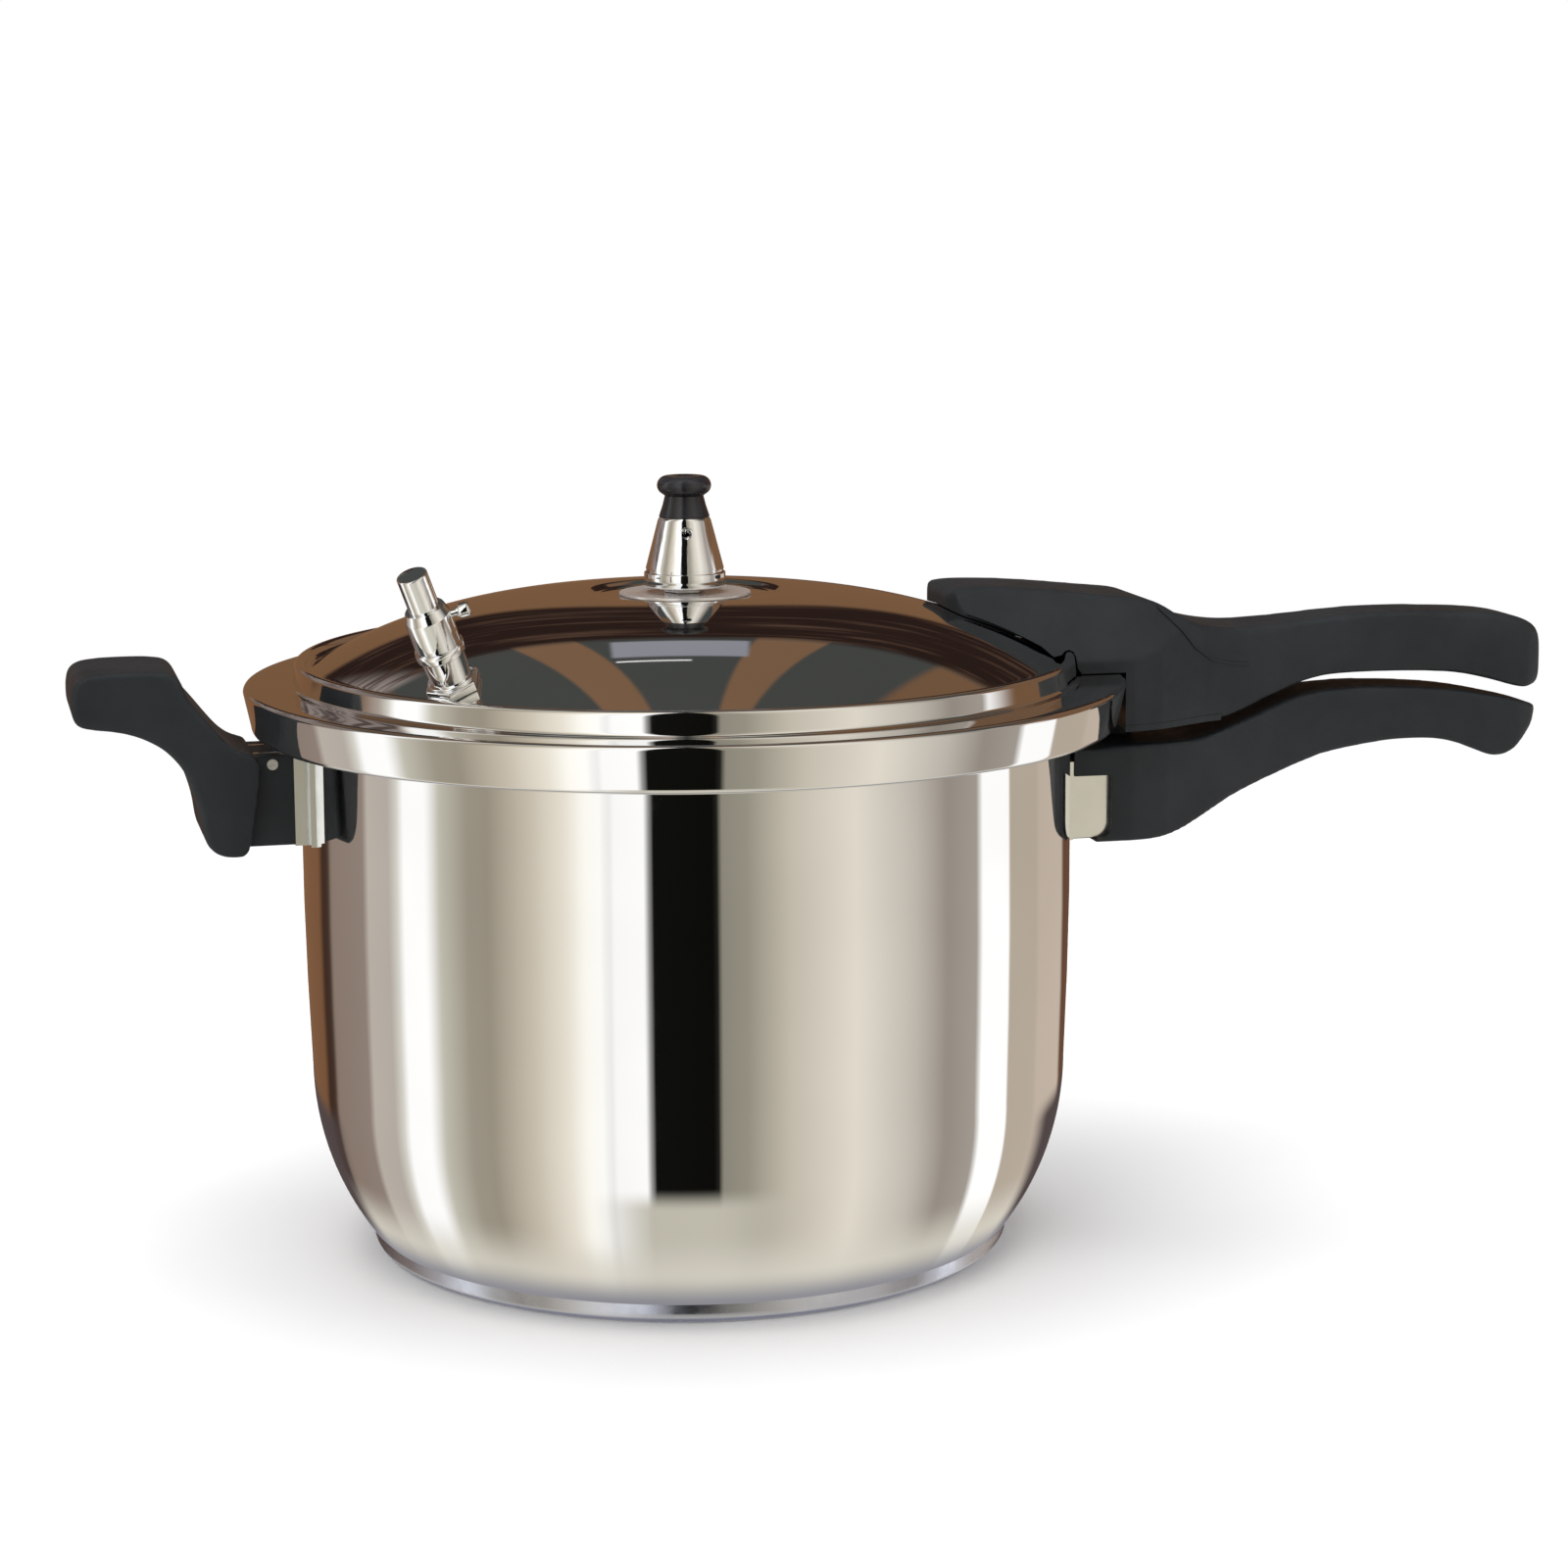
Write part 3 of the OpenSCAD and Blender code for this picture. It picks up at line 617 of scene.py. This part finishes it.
def make_weight():
    cone_z = weight_z + 5.5
    top_r = 8.6
    bore_z = weight_z + 11.7
    outlet_z = weight_z + 18.4
    groove = [(weight_r - 0.7, cone_z - 0.1), (weight_r - 0.75, cone_z + 0.5),
              (weight_r - 0.55, cone_z + 0.8)]
    outer = [(7.4, weight_z + 0.3), (7.8, weight_z)]
    outer += arc((weight_r - 0.8, weight_z + 0.8), 0.8, -90, 0, 6)
    outer += [(weight_r, cone_z - 0.9)] + arc((weight_r - 0.5, cone_z - 0.8), 0.5, 0, 70, 4)
    outer += groove
    outer += [(top_r + 0.35, knob_z - 1), (top_r, knob_z - 0.3), (top_r - 0.3, knob_z)]
    inner = [(2, knob_z), (2, weight_z + 17.4), (1.7, weight_z + 17), (1.7, bore_z),
             (4.7, bore_z), (4.7, weight_z + 1.6), (7.4, weight_z + 1.6)]
    cone = lathe("weight_cone", outer + inner, closed=True)
    cut(cone, pin("outlet", 1.7, 14, (0, -7, outlet_z), "Y"))
    rim = lathe("outlet_rim", arc((2.05, 0), 0.35, 0, 330, 11), closed=True, around=48)
    turn(rim, 90, "X")
    shift(rim, (0, -9.3, outlet_z))
    join(cone, [rim])
    turn(cone, -8)
    smooth_shade(cone, 30)
    place(cone, "weight", "valve_chrome", finishes["valve_chrome"], "weight_body")
    grip = [(2, knob_z + 0.02), (top_r - 0.3, knob_z + 0.02), (top_r - 0.1, knob_z + 0.4)]
    grip += [(7.3, knob_z + 4), (6.5, knob_z + 7.2)]
    grip += arc((5.9, knob_z + 10.7), 3.2, -62, 88, 16)
    grip += [(3.5, weight_top_z - 0.05), (2.6, weight_top_z - 0.35), (0, weight_top_z - 0.4)]
    knob = lathe("weight_grip", grip)
    edit(knob)
    bpy.ops.mesh.fill_holes(sides=0)
    close_up(knob)
    smooth_shade(knob, 35)
    place(knob, "weight", "knob_plastic", finishes["knob_plastic"], "weight_knob")


# ---------- safety valve ----------

valve_at_r = 117
valve_at_angle = 220
valve_slope = math.degrees(math.atan(dome_rise * 3 / dome_r * (valve_at_r / dome_r) ** 2))


def put_at_valve(obj):
    """Moves a mesh made along Z onto the dome at the safety valve's place."""
    lean = Quaternion((0, 1, 0), math.radians(valve_slope))
    around = Quaternion((0, 0, 1), math.radians(valve_at_angle))
    foot = Vector((valve_at_r, 0, dome_height(valve_at_r))) * MM
    for v in obj.data.vertices:
        v.co = around @ (lean @ v.co + foot)


def finish_at_valve(obj, body, node, angle=30):
    smooth_shade(obj, angle)
    place(obj, body, "valve_chrome", finishes["valve_chrome"], node)


def make_valve():
    """Four pieces on one line; heights count from the dome's surface."""
    foot = pin("valve_foot", 9.2, 3.4, (0, 0, 1.7), sides=6)
    apply_modifier(foot, "BEVEL", width=0.5 * MM, segments=3, limit_method="ANGLE")
    outline = [(2.2, 3.2), (7.6, 3.2)] + arc((7.2, 3.9), 0.5, -60, 80, 5)
    outline += [(6.5, 4.6), (6.45, 5.4), (7, 12.6), (7.5, 12.9)]
    outline += arc((7.4, 13.5), 0.5, -60, 0, 3) + arc((7.4, 15.7), 0.5, 0, 90, 3)
    outline += [(5.4, 16.2), (5.4, 9), (2.2, 9)]
    collar = lathe("valve_collar", outline, closed=True, around=96)
    outline = [(2.3, -9), (4.7, -9), (5, -8.7), (5, 0.5), (2.3, 0.5)]
    stem = lathe("valve_stem", outline, closed=True, around=64)
    join(foot, [collar, stem])
    put_at_valve(foot)
    finish_at_valve(foot, "lid", "valve_body")

    outline = [(5.4, 16.25), (6.9, 16.25), (7.3, 16.7), (7.3, 26.9)] + arc((6.9, 27), 0.4, 0, 50, 3)
    outline += [(6.35, 29.7), (6.1, 30), (4.97, 30), (4.97, 23.8), (1.8, 23.8), (1.8, 22.8), (5.4, 22.8)]
    sleeve = lathe("valve_sleeve", outline, closed=True, around=96)
    put_at_valve(sleeve)
    finish_at_valve(sleeve, "lid", "valve_housing")

    outline = [(0, 8.6), (1.5, 8.6), (1.7, 9.3), (4.4, 9.3), (4.6, 9.5), (4.6, 11.7), (4.4, 11.9)]
    outline += [(1.7, 11.9), (1.7, 24), (4.7, 24), (4.9, 24.2), (4.9, 41.4)]
    outline += arc((4.5, 41.6), 0.4, 0, 90, 4) + [(0, 42)]
    tube = lathe("valve_tube", outline, around=96)
    put_at_valve(tube)
    finish_at_valve(tube, "plunger", "valve_plunger")

    outline = [(0, 6.5), (1.1, 6.5), (1.1, 8.8), (1.5, 9), (1.5, 9.4), (2, 9.5)]
    outline += arc((1.6, 10.3), 0.8, -60, 0, 4) + arc((1.4, 12.4), 1.0, 0, 90, 6) + [(0, 13.6)]
    stud = lathe("valve_side_stud", outline, around=64)
    turn(stud, 90, "Y")
    shift(stud, (0, 0, 25.4))
    turn(stud, 130)
    put_at_valve(stud)
    finish_at_valve(stud, "lid", "valve_side_pin", 35)


# ---------- handles ----------

voxel = 0.9 * MM
screw_x = 153


def both_sides(half):
    """Full plan outline from the half on the +Y side."""
    return half + [(x, -y) for x, y in reversed(half)]


def mould(name, side, plan, half_w):
    """Side outline cut by a plan outline."""
    body = slab(name, ring_curve(side), "XZ", -half_w, half_w)
    combine(body, slab("plan", both_sides(plan), "XY", 90, 260), "INTERSECT")
    return body


def raise_line(body, path, half_w, width=0.8, proud=0.42):
    """A fine moulding line that follows the surface where a curved sheet cuts it."""
    above = [(x, z + width / 2) for x, z in path]
    below = [(x, z - width / 2) for x, z in reversed(path)]
    sheet = slab("sheet", above + below, "XZ", -half_w, half_w)
    skin = copy_of(body, "skin")
    apply_modifier(skin, "DISPLACE", strength=proud * MM, mid_level=0, direction="NORMAL")
    combine(sheet, skin, "INTERSECT")
    combine(body, sheet, "UNION")


lid_handle_side = [
    (88, 211), (88.4, 218.2), (92.5, 221.1), (107.5, 221), (125, 219.6), (143, 217.5),
    (157, 215.8), (163, 213.4), (168.5, 209.9), (179.5, 206.1), (194, 204.1),
    (215, 205.2), (240, 207), (266, 207), (290, 205.5), (303, 202.4), (309, 197.5),
    (310.8, 189), (310.5, 181.6), (306, 178.3), (300, 178.6), (289, 181.8),
    (273, 185), (245, 186.3), (224, 185.3), (208, 180.3), (192, 174.4),
    (182, 172.9), (168, 172.7), (140, 172.7), (110, 173)]
lid_handle_plan = [
    (88.2, 11), (90, 19), (94, 26), (100, 32), (108, 36), (148, 36), (158, 33.5),
    (168, 28), (178, 22.4), (190, 17.6), (204, 14.2), (220, 12.8), (293, 12.5),
    (303, 10.8), (309, 7.5), (311, 3)]


def lid_room(clear):
    """Solid that the lid and its clearance fill, for cutting the handle's root."""
    outline = [(0, 150), (lid_r + 0.6, 150), (lid_r + 0.6, lid_z + clear), (133.8, lid_z + clear),
               (132.3, lid_z + 2.3), (131.7, lid_z + 6.2), (130.9, lid_z + 7.6),
               (129.5, lid_z + 8 + clear), (127.9, lid_z + 7.9), (126.8, lid_z + 6.8)]
    outline += [(r, dome_height(r) + clear) for r in range(124, 60, -5)]
    outline += [(0, 218)]
    return lathe("lid_room", outline)


def edge_room():
    """Wider gap over the dome, for the outer edges of the handle only."""
    outline = [(60, 190), (124.4, 190), (124.4, 199.1)]
    outline += [(r, dome_height(r) + 1.5) for r in range(120, 60, -5)]
    room = lathe("edge_room", outline, closed=True)
    cut(room, box("middle", (50, -22, 180), (160, 22, 240)))
    return room


def make_lid_handle():
    handle = mould("lid_grip", lid_handle_side, lid_handle_plan, 40)
    flanks = slab("flanks", [(-36.5, 160), (36.5, 160), (36.5, 197), (17.5, 219.5), (14.5, 222.4),
                             (-14.5, 222.4), (-17.5, 219.5), (-36.5, 197)], "YZ", 60, 330)
    combine(handle, flanks, "INTERSECT")
    apply_modifier(handle, "REMESH", mode="VOXEL", voxel_size=voxel)
    soften(handle, 6)
    weight_by_place(handle, "grip", lambda x, y, z: (x - 160) / 30)
    soften(handle, 30, "grip")
    crease = [(160, 213.6), (166, 207), (173, 199.5), (181, 194.2), (189, 192.2), (196, 191.6)]
    raise_line(handle, crease, 50)
    cut(handle, lid_room(0.3), edge_room())
    # bottom cover, the two hollows of the lock lever, and the lock pin's bore
    cut(handle, box("cover", (120, -45, 160), (185, 45, 175.2)),
        box("hollow", (107, -7, 190), (131.6, 7, 217.2)),
        box("hollow", (129, -7, 199), (155.6, 7, 212.9)),
        pin("bore", 2.6, 40, (screw_x, 0, 185)))
    # two handle screws, then the bracket and its two upright ears
    for s in (-1, 1):
        cut(handle, pin("bore", 2.55, 20, (112, s * 18, 202.5)))
    cut(handle, box("pocket", (133.6, -24.2, 190), (144.6, 24.2, 195.1)))
    for s in (-1, 1):
        cut(handle, box("slot", (136.8, s * 20 - 1.1, 190), (144.2, s * 20 + 1.1, 206)))
    cut(handle, pin("bore", 2.05, 20, (176, 0, 180)))
    smooth_shade(handle, 40)
    place(handle, "lid", "bakelite", finishes["bakelite"], "lid_handle")


pot_handle_side = [
    (120, 165.2), (134.6, 165.8), (148.5, 167.1), (165, 166.9), (179.5, 167.4),
    (199.6, 172.9), (212, 177.4), (224.4, 180.2), (245.8, 180.9), (274, 178.9),
    (295, 175), (307, 171.9), (309.6, 169.2), (306, 162.5), (299.8, 156.4),
    (292.1, 153.9), (281.3, 158), (270.8, 161), (258, 161.8), (244.8, 160.9),
    (225, 157.6), (207.8, 151.6), (191, 145.4), (172.7, 137.3), (163, 134.4),
    (155.5, 133.5), (141.9, 133.4), (128.7, 133.4), (120, 133.4)]
pot_handle_plan = [
    (120, 26.6), (134, 27.4), (150, 28), (163, 26.5), (176, 22), (190, 17), (205, 13.8),
    (225, 12.5), (286, 12.5), (300, 10.8), (307, 7.5), (310, 3)]


def make_pot_handle():
    handle = mould("pot_grip", pot_handle_side, pot_handle_plan, 30)
    apply_modifier(handle, "REMESH", mode="VOXEL", voxel_size=voxel)
    soften(handle, 6)
    weight_by_place(handle, "grip", lambda x, y, z: min((x - 170) / 30, (168 + (x - 190) * 0.02 - z) / 6))
    soften(handle, 24, "grip")
    combine(handle, pin("boss", 5.7, 6, (screw_x, 0, 167.5)), "UNION")
    cut(handle, pin("socket", 3, 9, (screw_x, 0, 167)),
        pin("pot_room", 132.2, 90, (0, 0, 150), sides=256),
        box("pocket", (120, -24.7, 134.6), (147.3, 24.7, 162.3)))
    # window in each flank that shows the bracket
    for s in (-1, 1):
        outline = [(122, 130), (138, 130)] + arc((138, 139.6), 5, -90, 0, 10)
        outline += arc((142, 155.8), 1, 0, 90, 4) + [(122, 156.8)]
        cut(handle, slab("window", outline, "XZ", s * 24 - 6, s * 24 + 6))
    cut(handle, pin("bore", 2.1, 12, (139, 0, 132)))
    smooth_shade(handle, 40)
    place(handle, "pot", "bakelite", finishes["bakelite"], "pot_handle")


helper_side = [
    (-147.4, 174.6), (-150.5, 175.8), (-154, 177.6), (-158, 181.4), (-164.3, 189.4), (-168.4, 194.6),
    (-169.9, 199), (-172.2, 202), (-176, 203.2), (-185, 203.6), (-197, 203.3),
    (-202.4, 202), (-204.8, 199), (-205.3, 193), (-204.6, 188.4), (-201.5, 186),
    (-191.2, 184.4), (-184.8, 182.6), (-179.6, 180.1), (-175, 176.7), (-170.2, 170.6),
    (-166.9, 162), (-165.3, 155.6), (-164.2, 148), (-162, 144.2), (-158, 142),
    (-152.8, 141.8), (-150.4, 143.4), (-148.9, 149), (-147.2, 160), (-145.9, 170)]
helper_half_w = 22


def make_helper_handle():
    handle = slab("helper_grip", ring_curve(helper_side), "XZ", -helper_half_w, helper_half_w)
    apply_modifier(handle, "REMESH", mode="VOXEL", voxel_size=voxel)
    soften(handle, 4)
    weight_by_place(handle, "bar", lambda x, y, z: (-150 - x) / 8)
    soften(handle, 14, "bar")
    combine(handle, box("root", (-152, -17, 144.5), (-134.7, 17, 173.8)), "UNION")
    for s in (-1, 1):
        cut(handle, box("ear", (-147.3, s * 8.5 - 1, 146.8), (-133, s * 8.5 + 1, 174.2)))
    cut(handle, pin("bore", 1.2, 80, (-141.5, 0, 171.4), "Y"))
    smooth_shade(handle, 40)
    place(handle, "pot", "bakelite", finishes["bakelite"], "helper_handle")


make_pot()
make_base()
make_lid()
make_weight()
make_valve()
make_lid_handle()
make_pot_handle()
make_helper_handle()


# ---------- studio ----------

def make_floor():
    """Pale floor that fades to an even white away from the object."""
    clear_selection()
    bpy.ops.mesh.primitive_circle_add(
        vertices=64, radius=3.0, fill_type="NGON", location=(0, 0, -0.2 * MM))
    floor = bpy.context.object
    floor.name = "floor"
    pale = Finish("pale_floor")
    pale.colour(pale.noise(3, 3), (0.86, 0.86, 0.86, 1), (0.88, 0.88, 0.88, 1))
    pale.roughness(pale.noise(20, 3), 0.7, 0.8)
    far = pale.add("ShaderNodeVectorMath", operation="LENGTH")
    pale.link(pale.place, far.inputs[0])
    fade = pale.add("ShaderNodeMapRange", interpolation_type="SMOOTHSTEP")
    fade.inputs["From Min"].default_value = 0.35
    fade.inputs["From Max"].default_value = 1.3
    pale.link(far.outputs["Value"], fade.inputs["Value"])
    backdrop = pale.add("ShaderNodeEmission")
    mix = pale.add("ShaderNodeMixShader")
    pale.link(fade.outputs["Result"], mix.inputs[0])
    pale.link(pale.shader.outputs[0], mix.inputs[1])
    pale.link(backdrop.outputs[0], mix.inputs[2])
    pale.link(mix.outputs[0], pale.tree.nodes["Material Output"].inputs["Surface"])
    floor.data.materials.append(pale.material)
    floor.visible_glossy = False


def soft_box(name, position, size, power):
    """Area light aimed at the object, seen by neither the camera nor the mirrors."""
    light = bpy.data.lights.new(name, "AREA")
    light.shape = "RECTANGLE"
    light.size, light.size_y = size
    light.energy = power
    lamp = bpy.data.objects.new(name, light)
    bpy.context.scene.collection.objects.link(lamp)
    lamp.location = position
    lamp.rotation_mode = "QUATERNION"
    lamp.rotation_quaternion = (Vector((0.05, 0, 0.15)) - Vector(position)).to_track_quat("-Z", "Y")
    lamp.visible_camera = False
    lamp.visible_glossy = False


look_down = math.radians(12.5)
panel_gain = 1.21
# Colours of the panels that stand round the object, by bearing in degrees from the
# camera's side; the polished steel mirrors them as upright bands.
panels = [
    (-180, (122, 90, 64)), (-143, (116, 82, 58)), (-139, (60, 42, 33)), (-134, (66, 50, 42)),
    (-131.5, (134, 118, 108)), (-110.6, (142, 128, 119)), (-108.6, (184, 175, 166)),
    (-98, (180, 172, 164)), (-94, (214, 212, 204)), (-91.6, (255, 255, 255)), (-82.5, (255, 255, 255)),
    (-77, (190, 187, 174)), (-67, (154, 147, 133)), (-60, (150, 142, 127)), (-46, (198, 189, 173)),
    (-35, (232, 226, 213)), (-30, (252, 250, 243)), (-24.0, (255, 255, 253)), (-23.2, (84, 82, 80)),
    (-22.4, (250, 250, 250)), (-12.0, (255, 255, 255)), (-10.9, (16, 16, 14)), (8.4, (12, 12, 10)),
    (9.2, (138, 134, 122)), (17, (148, 144, 130)), (30, (194, 187, 173)), (50, (222, 216, 204)),
    (70, (188, 182, 173)), (82, (148, 140, 131)), (94.5, (160, 153, 145)), (97, (255, 255, 255)),
    (109, (255, 255, 255)),
]
# The panels' far right side: the bearings between which each colour takes over.
right_side = [
    (109.5, 111, (178, 166, 152)), (126, 130, (188, 174, 160)), (150, 155, (96, 68, 52)),
]
# Ceiling, in steps across and along over the height. The two middle beams run towards the
# camera and spread: left edge, its slope, right edge, its slope. The outer ones slant.
middle_beams = [(-0.087, -0.16, -0.017, -0.116), (0.041, 0.054, 0.07, 0.129)]
outer_beams = [(-0.2, 0.26, 0.6, (122, 92, 68)), (0.2, -0.9, -0.42, (110, 84, 64))]
# Fittings between the beams: across, its soft edge, along, its soft edge, colour.
fittings = [
    (-0.126, 0.107, 0.006, 1.05, 1.4, 0.02, (146, 147, 156)),
    (-0.12, 0.01, 0.003, 0.965, 0.985, 0.006, (250, 250, 250)),
]


class Surround:
    """World shader: white for the camera and for soft light, panels for mirror reflections."""

    def __init__(self):
        world = bpy.data.worlds.new("studio")
        world.use_nodes = True
        bpy.context.scene.world = world
        self.tree = world.node_tree
        self.tree.nodes.clear()
        turned = self.add("ShaderNodeVectorRotate", rotation_type="Z_AXIS")
        turned.inputs["Angle"].default_value = view_azimuth
        self.link(self.add("ShaderNodeTexCoord").outputs["Generated"], turned.inputs["Vector"])
        split = self.add("ShaderNodeSeparateXYZ")
        self.link(turned.outputs["Vector"], split.inputs["Vector"])
        self.x, self.y, self.z = split.outputs

    def add(self, kind, **settings):
        node = self.tree.nodes.new(kind)
        for key, value in settings.items():
            setattr(node, key, value)
        return node

    def link(self, a, b):
        self.tree.links.new(a, b)

    def math(self, operation, a, b=None):
        node = self.add("ShaderNodeMath", operation=operation)
        for i, value in enumerate((a, b)):
            if value is None:
                continue
            if isinstance(value, (int, float)):
                node.inputs[i].default_value = value
            else:
                self.link(value, node.inputs[i])
        return node.outputs[0]

    def product(self, a, b):
        return self.math("MULTIPLY", a, b)

    def step(self, value, start, end):
        """0 before start and 1 after end, smooth between."""
        node = self.add("ShaderNodeMapRange", interpolation_type="SMOOTHSTEP")
        node.inputs["From Min"].default_value = start
        node.inputs["From Max"].default_value = end
        self.link(value, node.inputs["Value"])
        return node.outputs["Result"]

    def between(self, value, low, high, soft):
        """1 between low and high, with soft edges."""
        rise = self.step(value, low - soft, low + soft)
        fall = self.step(value, high - soft, high + soft)
        return self.math("SUBTRACT", rise, fall)

    def flat(self, colour):
        node = self.add("ShaderNodeMix", data_type="RGBA")
        node.inputs[0].default_value = 0
        node.inputs[6].default_value = colour
        return node.outputs[2]

    def over(self, below, colour, mask, blend="MIX"):
        """Lays a colour over another where the mask is 1."""
        node = self.add("ShaderNodeMix", data_type="RGBA", blend_type=blend)
        if isinstance(mask, (int, float)):
            node.inputs[0].default_value = mask
        else:
            self.link(mask, node.inputs[0])
        self.link(below, node.inputs[6])
        if isinstance(colour, tuple):
            node.inputs[7].default_value = colour
        else:
            self.link(colour, node.inputs[7])
        return node.outputs[2]

    def level_bearing(self):
        return self.math("ARCTAN2", self.x, self.product(self.y, -1.0))

    def bearing(self):
        """Bearing of the panels; below the horizon they lean out towards the camera's side."""
        ahead = self.math("SUBTRACT", math.cos(look_down), self.y)
        leaning = self.product(self.math("ARCTAN2", self.x, ahead), 2.0)
        share = self.step(self.z, -0.02, 0.06)
        node = self.add("ShaderNodeMix", data_type="FLOAT")
        self.link(share, node.inputs[0])
        self.link(leaning, node.inputs[2])
        self.link(self.level_bearing(), node.inputs[3])
        return node.outputs[0]

    def bands(self, bearing):
        turn_share = self.product(self.math("ADD", bearing, math.pi), 1 / math.tau)
        ramp = self.add("ShaderNodeValToRGB")
        self.link(turn_share, ramp.inputs["Fac"])
        stops = ramp.color_ramp.elements
        stops.remove(stops[1])
        for i, (bearing_deg, colour) in enumerate(panels):
            at = (bearing_deg + 180) / 360
            stop = stops[0] if i == 0 else stops.new(at)
            stop.position = at
            stop.color = srgb(*colour)
        shown = ramp.outputs["Color"]
        for start, end, colour in right_side:
            edge = self.step(bearing, math.radians(start), math.radians(end))
            shown = self.over(shown, srgb(*colour), edge)
        return shown

    def lean(self):
        """Lean of the mirror that would show each direction, 0 upright and more for face down."""
        ahead = self.math("SUBTRACT", self.y, math.cos(look_down))
        low = self.math("ADD", self.z, math.sin(look_down))
        level = self.math("ADD", self.product(self.x, self.x), self.product(ahead, ahead))
        return self.math("ARCTAN2", self.product(low, -1.0), self.math("SQRT", level))

    def table(self, colour, bearing):
        """The table in front cuts off the panels: first the dark frame, then the others."""
        lean = self.lean()
        front = self.math("SUBTRACT", self.step(bearing, -0.55, -0.15), self.step(bearing, 0.1, 0.8))
        colour = self.over(colour, srgb(192, 188, 175), self.product(front, self.step(lean, 0.17, 0.26)))
        colour = self.over(colour, srgb(212, 208, 196), self.product(self.step(lean, 0.34, 0.56), 0.8))
        edge = self.step(self.math("ABSOLUTE", bearing), 2.2, 2.5)
        colour = self.over(colour, srgb(78, 68, 68), self.product(edge, self.step(lean, 0.10, 0.2)))
        return self.over(colour, srgb(138, 138, 146), self.step(lean, 0.53, 0.7))

    def wall(self, colour):
        """Brown wall behind the object, a streaked dark beam above it and paler sides."""
        behind = self.step(self.y, 0.05, 0.35)
        colour = self.over(colour, srgb(124, 92, 66), self.product(behind, self.step(self.z, -0.05, 0.0)))
        stretched = self.add("ShaderNodeCombineXYZ")
        self.link(self.x, stretched.inputs[0])
        self.link(self.product(self.z, 9.0), stretched.inputs[2])
        grain = self.add("ShaderNodeTexNoise")
        grain.inputs["Scale"].default_value = 5
        grain.inputs["Detail"].default_value = 5
        self.link(stretched.outputs[0], grain.inputs["Vector"])
        mottle = self.step(grain.outputs["Fac"], 0.5, 0.72)
        beam = self.over(self.flat(srgb(44, 31, 27)), srgb(92, 70, 58), mottle)
        colour = self.over(colour, beam, self.product(behind, self.step(self.z, 0.23, 0.27)))
        level = self.level_bearing()
        right = self.between(level, math.radians(96), math.radians(151), 0.05)
        rising = self.step(self.z, 0.2, 0.3)
        colour = self.over(colour, srgb(122, 94, 72), self.product(right, rising))
        left = self.between(level, math.radians(-157), math.radians(-96), 0.05)
        mottle = self.step(grain.outputs["Fac"], 0.45, 0.6)
        pale = self.over(self.flat(srgb(150, 138, 133)), srgb(88, 76, 72), mottle)
        return self.over(colour, pale, self.product(left, self.step(self.z, 0.1, 0.2)))

    def ceiling(self, colour):
        """Grey ceiling with brown beams, a pale panel and a bright tube."""
        above = self.product(self.step(self.y, -0.15, 0.1), self.step(self.z, 0.54, 0.58))
        colour = self.over(colour, srgb(72, 74, 72), above)
        across = self.math("DIVIDE", self.x, self.z)
        along = self.math("DIVIDE", self.y, self.z)
        soft = 0.006
        for left, left_slope, right, right_slope in middle_beams:
            from_left = self.math("SUBTRACT", across, self.product(along, left_slope))
            from_right = self.math("SUBTRACT", across, self.product(along, right_slope))
            past_right = self.step(from_right, right - soft, right + soft)
            beam = self.product(self.step(from_left, left - soft, left + soft),
                                self.math("SUBTRACT", 1.0, past_right))
            colour = self.over(colour, srgb(128, 98, 74), self.product(beam, above))
        for slope, low, high, brown in outer_beams:
            slant = self.math("ADD", across, self.product(along, slope))
            beam = self.between(slant, low, high, 0.02)
            colour = self.over(colour, srgb(*brown), self.product(beam, above))
        for left, right, side_soft, near, far, end_soft, shade in fittings:
            area = self.product(self.between(across, left, right, side_soft),
                                self.between(along, near, far, end_soft))
            colour = self.over(colour, srgb(*shade), self.product(area, above))
        return colour

    def background(self, colour):
        node = self.add("ShaderNodeBackground")
        if isinstance(colour, tuple):
            node.inputs["Color"].default_value = colour
        else:
            self.link(colour, node.inputs["Color"])
        return node.outputs[0]

    def choose(self, ray, otherwise, shader):
        """One shader for a kind of ray and another for the rest."""
        node = self.add("ShaderNodeMixShader")
        self.link(ray, node.inputs[0])
        self.link(otherwise, node.inputs[1])
        self.link(shader, node.inputs[2])
        return node.outputs[0]

    def build(self):
        bearing = self.bearing()
        colour = self.table(self.bands(bearing), bearing)
        gain = (panel_gain, panel_gain, panel_gain, 1)
        colour = self.over(colour, gain, 1, blend="MULTIPLY")
        colour = self.ceiling(self.wall(colour))
        rays = self.add("ShaderNodeLightPath")
        soft = self.background((0.5, 0.5, 0.52, 1))
        seen = self.choose(rays.outputs["Is Camera Ray"], soft, self.background((1, 1, 1, 1)))
        shown = self.choose(rays.outputs["Is Glossy Ray"], seen, self.background(colour))
        self.link(shown, self.add("ShaderNodeOutputWorld").inputs["Surface"])


make_floor()
Surround().build()
soft_box("overhead_light", (-0.1, 0.1, 2.2), (2.6, 2.6), 62)
soft_box("key_light", (-1.3, -1.6, 1.4), (1.2, 1.2), 14)
soft_box("fill_light", (1.6, -1.0, 1.0), (1.0, 1.0), 6)
bpy.context.scene.view_settings.view_transform = "Standard"
